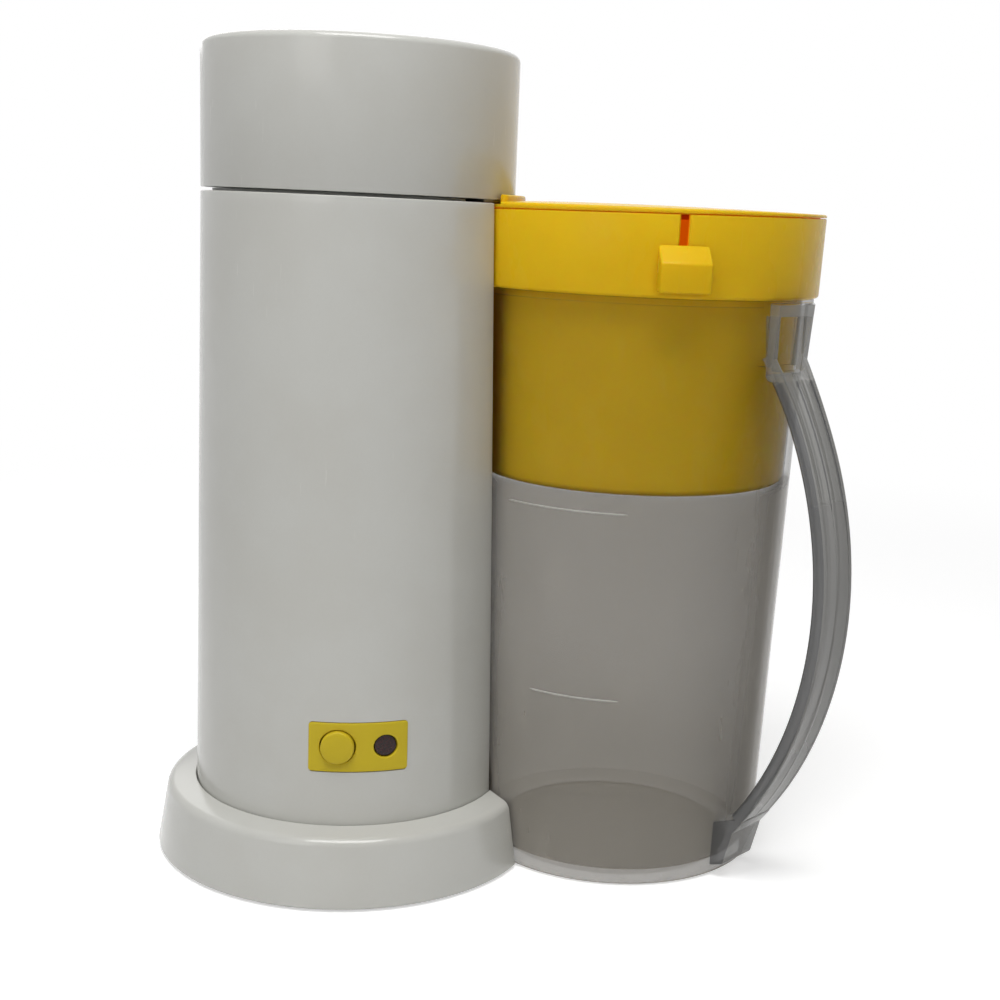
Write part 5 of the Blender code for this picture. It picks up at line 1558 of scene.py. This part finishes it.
@dataclass
class PitcherLid:
    """The yellow lid: a domed disc, a well under the head, a wall that hugs the head and a lip below."""

    at: Layout
    base_z: float = 0.2623
    edge_h: float = 0.0021
    dome: float = 0.0016
    fillet: float = 0.0016
    under_edge: float = 0.0003
    dome_steps: int = 14
    well_z: float = 0.2635
    wall_in_r: float = 0.0614
    wall: float = 0.0032
    wall_top_z: float = 0.2670
    wall_edge: float = 0.0008
    wall_back: float = 0.0013
    collar_steps: int = 72
    end_share: float = 0.05
    lip: float = 0.0015
    lip_h: float = 0.0025
    lip_gap: float = 0.0004
    lip_break: float = 0.0140
    port_x: float = 0.0503
    port_turn: float = radians(0.35)
    port_r: float = 0.0048

    def build(self) -> None:
        """Builds and dresses the lid."""
        at = self.at
        radius, edge_z = at.ring_top_r, self.base_z + self.edge_h
        top = edge_z + self.dome
        corners = domed(radius, top, self.dome, self.dome_steps) + [
            (radius, edge_z, self.fillet),
            (radius, self.base_z, self.under_edge),
            (0, self.base_z),
        ]
        lid = lathe("lid", rounded(corners), at.pitcher)
        middle = at.tower + up(self.well_z)
        port = at.tower + polar(self.port_x, self.port_turn, self.base_z)
        well = rod("well", self.wall_in_r + self.wall / 2, middle, middle + up(OVERRUN), FINE)
        combined(lid, Cut.AWAY, well, drill("port", self.port_r, port, SMALL))
        combined(lid, Cut.TOGETHER, self.collar(), self.inner_lip())
        at.climbed(lid, top, self.base_z)
        dress(lid, Look.YELLOW, Body.PITCHER, "pitcher_lid")

    def collar(self) -> Piece:
        """The short upright wall round the head, with rounded ends that stop at the lid's edge."""
        at, middle_r = self.at, self.wall_in_r + self.wall / 2
        low, high, half = self.base_z + SEAT, self.wall_top_z, self.wall / 2
        stop = at.meeting(middle_r, at.ring_top_r - SEAT) - (half + self.wall_back) / middle_r
        edge, steps = self.wall_edge, self.collar_steps
        profile = rounded([(half, low), (half, high, edge), (-half, high, edge), (-half, low)])
        turns = reversed(quarter(END_STEPS)[1:])
        plan = [(-stop - half / middle_r * sin(a), cos(a)) for a in turns]
        plan += [(-stop + 2 * stop * i / steps, 1.0) for i in range(steps + 1)]
        plan += [(-turn, share) for turn, share in reversed(plan[:END_STEPS])]
        loops = []
        for turn, share in plan:
            narrow = max(share, self.end_share)
            loops.append([at.tower + polar(middle_r + p.x * narrow, turn, p.y) for p in profile])
        return loft("collar", loops, ring=False)

    def inner_lip(self) -> Piece:
        """The lip inside the ring, with a break for the slider."""
        at = self.at
        low, high = self.base_z - self.lip_h, self.base_z + BITE
        outer, edge = at.ring_r(low) - at.ring_wall - self.lip_gap, self.lip / 3
        inner = outer - self.lip
        profile = [(outer, high), (outer, low, edge), (inner, low, edge), (inner, high)]
        lip = lathe("inner_lip", rounded(profile), at.pitcher)
        half = self.lip_break / 2
        gap_low, gap_high = (-half, -at.ring_top_r, low - OVERRUN), (half, 0, self.base_z - SEAT)
        return combined(lip, Cut.AWAY, block("lip_gap", gap_low, gap_high, at.on_pitcher()))


# ---- what the body hides


@dataclass
class Works:
    """The tank, the outlet, and the small parts below: those that open lid or underside show."""

    at: Layout
    foot_azimuths: tuple[float, ...] = (radians(55), radians(135), radians(225), radians(305))
    foot_ring_r: float = 0.0690
    foot_r: float = 0.0060
    foot_top_z: float = 0.0023
    stem_r: float = 0.0022
    stem_top_z: float = 0.0049
    foot_edge: float = 0.0003

    def build(self) -> None:
        """Builds the feet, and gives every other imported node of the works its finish."""
        for i, azimuth in enumerate(self.foot_azimuths):
            dress(self.foot(i + 1, azimuth), Look.RUBBER, Body.TOWER, f"foot_{i + 1}")
        looks = {
            Look.TANK: ("reservoir_tank", "outlet_spout", "switch_plunger"),
            Look.HOSE: ("riser_tube", "tank_hose", "feed_hose", "hot_hose", "check_valve"),
            Look.BLACK: ("bottom_cover", "brew_switch"),
            Look.RUBBER: ("cord_gland",),
            Look.BULB: ("indicator_lamp",),
            Look.ALUMINIUM: ("boiler_heater",),
            Look.STEEL: ("thermostat", "thermal_fuse", *(f"cover_screw_{i}" for i in range(1, 5))),
        }
        for look, names in looks.items():
            for name in names:
                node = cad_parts[name]
                node.data.materials.clear()
                node.data.materials.append(look.made)
                LOG.info("%s is finished as %s", name, look.name.lower())

    def foot(self, number: int, azimuth: float) -> Piece:
        """A rubber foot, with its stem in the bottom cover."""
        corners = [
            (0, self.stem_top_z),
            (self.stem_r, self.stem_top_z),
            (self.stem_r, self.foot_top_z),
            (self.foot_r, self.foot_top_z, self.foot_edge),
            (self.foot_r - self.foot_edge * 2, 0, self.foot_edge),
            (0, 0),
        ]
        place = self.at.tower + polar(self.foot_ring_r, azimuth)
        return lathe(f"rubber_foot_{number}", rounded(corners), place, steps=SMALL)


# ---- the studio


@dataclass(frozen=True)
class Panel:
    """One lamp of the studio: a soft rectangular panel."""

    name: str
    place: Colour
    target: Colour
    size: tuple[float, float]
    power: float


@dataclass
class Studio:
    """The camera at the photograph's angle, the pale floor, the lamps and the world."""

    at: Layout
    place: Colour = (-0.01434, -0.60496, 0.26021)
    turns: Colour = (0.2119, -0.1576, 0.0458)
    focal_px: float = 1500.28
    centre_px: tuple[float, float] = (551.46, 538.40)
    image_px: float = 1000.0
    sensor: float = 36.0
    clip: tuple[float, float] = (0.01, 20.0)
    floor_half: float = 3.0
    floor_tone: float = 0.80
    floor_cloud: Pattern = Pattern(4, 2)
    floor_spread: float = 0.02
    floor_rough: float = 0.75
    floor_smudge: float = 0.05
    floor_lift: float = 0.52
    floor_near: float = 0.35
    floor_far: float = 1.10
    background: float = 1.0
    world_light: float = 0.14
    lamps: tuple[Panel, ...] = (
        Panel("key", (-0.10, -0.50, 1.30), (0, 0, 0.12), (0.8, 0.6), 12.2),
        Panel("side", (-0.75, -1.00, 0.70), (0, 0, 0.12), (0.6, 0.8), 1.95),
        Panel("back", (-0.30, 1.20, 0.80), (0, 0, 0.12), (0.8, 0.8), 2.0),
    )

    def build(self) -> None:
        """Builds the camera, the floor, the lamps and the world."""
        self.camera()
        self.floor()
        self.world()
        for lamp in self.lamps:
            self.lamp(lamp)
        bpy.context.scene.view_settings.view_transform = "Standard"

    def camera(self) -> None:
        """Puts the camera where the photograph was taken from."""
        rx, ry, rz = self.turns
        base = Matrix(((1, 0, 0), (0, 0, -1), (0, 1, 0)))
        turn_x = Matrix(((1, 0, 0), (0, cos(rx), -sin(rx)), (0, sin(rx), cos(rx))))
        turn_y = Matrix(((cos(ry), 0, sin(ry)), (0, 1, 0), (-sin(ry), 0, cos(ry))))
        turn_z = Matrix(((cos(rz), -sin(rz), 0), (sin(rz), cos(rz), 0), (0, 0, 1)))
        view = turn_z @ turn_x @ turn_y @ base
        data = bpy.data.cameras.new("camera")
        data.sensor_width = self.sensor
        data.lens = self.focal_px * self.sensor / self.image_px
        data.shift_x = (self.image_px / 2 - self.centre_px[0]) / self.image_px
        data.shift_y = (self.centre_px[1] - self.image_px / 2) / self.image_px
        data.clip_start, data.clip_end = self.clip
        camera = bpy.data.objects.new("camera", data)
        columns = Matrix((view[0], -view[1], -view[2])).transposed()
        camera.matrix_world = Matrix.Translation(self.at.tower + Vector(self.place)) @ columns.to_4x4()
        bpy.context.scene.collection.objects.link(camera)
        bpy.context.scene.camera = camera

    def floor(self) -> None:
        """A wide pale floor that keeps the object's shadow, and looks white from afar."""
        half = self.floor_half
        corners = [Vector((x * half, y * half, 0)) for x, y in SIDES]

        def build(work: Mesh) -> None:
            work.faces.new([work.verts.new(corner) for corner in corners])

        floor = piece_from("floor", build)
        material = bpy.data.materials.new("pale_floor")
        graph = Graph(material)
        cloud = self.floor_cloud.on(graph)
        tone = graph.blend(cloud, (self.floor_tone,) * 3, (self.floor_tone + self.floor_spread,) * 3)
        matt = graph.principled(Base_Color=tone, Roughness=cloud * self.floor_smudge + self.floor_rough)
        seen = self.seen(graph)
        away = graph.add("ShaderNodeVectorMath", {"operation": "LENGTH"}, {0: graph.places}, "Value")
        white, lift = (
            graph.add("ShaderNodeEmission", None, {"Color": WHITE, "Strength": seen * strength})
            for strength in (self.background, self.floor_lift)
        )
        near = graph.add("ShaderNodeAddShader", None, {0: matt, 1: lift})
        share = seen * away.band(self.floor_near, self.floor_far)
        graph.finish(graph.add("ShaderNodeMixShader", None, {0: share, 1: near, 2: white}))
        floor.data.materials.append(material)

    @staticmethod
    def seen(graph: Graph) -> Wire:
        """Whether a ray is one that shows the background: from the camera, a gloss or clear plastic."""
        kinds = ("Camera", "Glossy", "Transmission")
        camera, gloss, clear = (graph.add("ShaderNodeLightPath", output=f"Is {kind} Ray") for kind in kinds)
        return graph.add("ShaderNodeMath", {"operation": "MINIMUM"}, {0: camera + gloss + clear, 1: 1.0})

    def world(self) -> None:
        """Even light all round, and a white background."""
        world = bpy.data.worlds.new("studio")
        graph = Graph(world)
        strength = self.seen(graph) * (self.background - self.world_light) + self.world_light
        graph.finish(graph.add("ShaderNodeBackground", None, {"Color": WHITE, "Strength": strength}))
        bpy.context.scene.world = world

    def lamp(self, lamp: Panel) -> None:
        """Hangs one soft panel, turned to its target."""
        data = bpy.data.lights.new(lamp.name, "AREA")
        data.shape = "RECTANGLE"
        data.size, data.size_y = lamp.size
        data.energy = lamp.power
        obj = bpy.data.objects.new(lamp.name, data)
        place, target = Vector(lamp.place), Vector(lamp.target)
        turn = (target - place).to_track_quat("-Z", "Y").to_matrix()
        obj.matrix_world = Matrix.Translation(place) @ turn.to_4x4()
        bpy.context.scene.collection.objects.link(obj)


def main() -> None:
    """Builds the studio and the maker."""
    logging.basicConfig(level=logging.INFO, format="%(name)s: %(message)s")
    at = Layout.measured()
    basket = Basket(at)
    parts = (
        Studio(at),
        TowerBody(at),
        Head(at),
        Controls(at),
        Jug(at, Handle(at)),
        basket,
        StrengthSlider(at, basket),
        PitcherLid(at),
        Works(at),
    )
    for part in parts:
        part.build()
        LOG.info("%s is built", type(part).__name__)


if __name__ == "__main__":
    main()
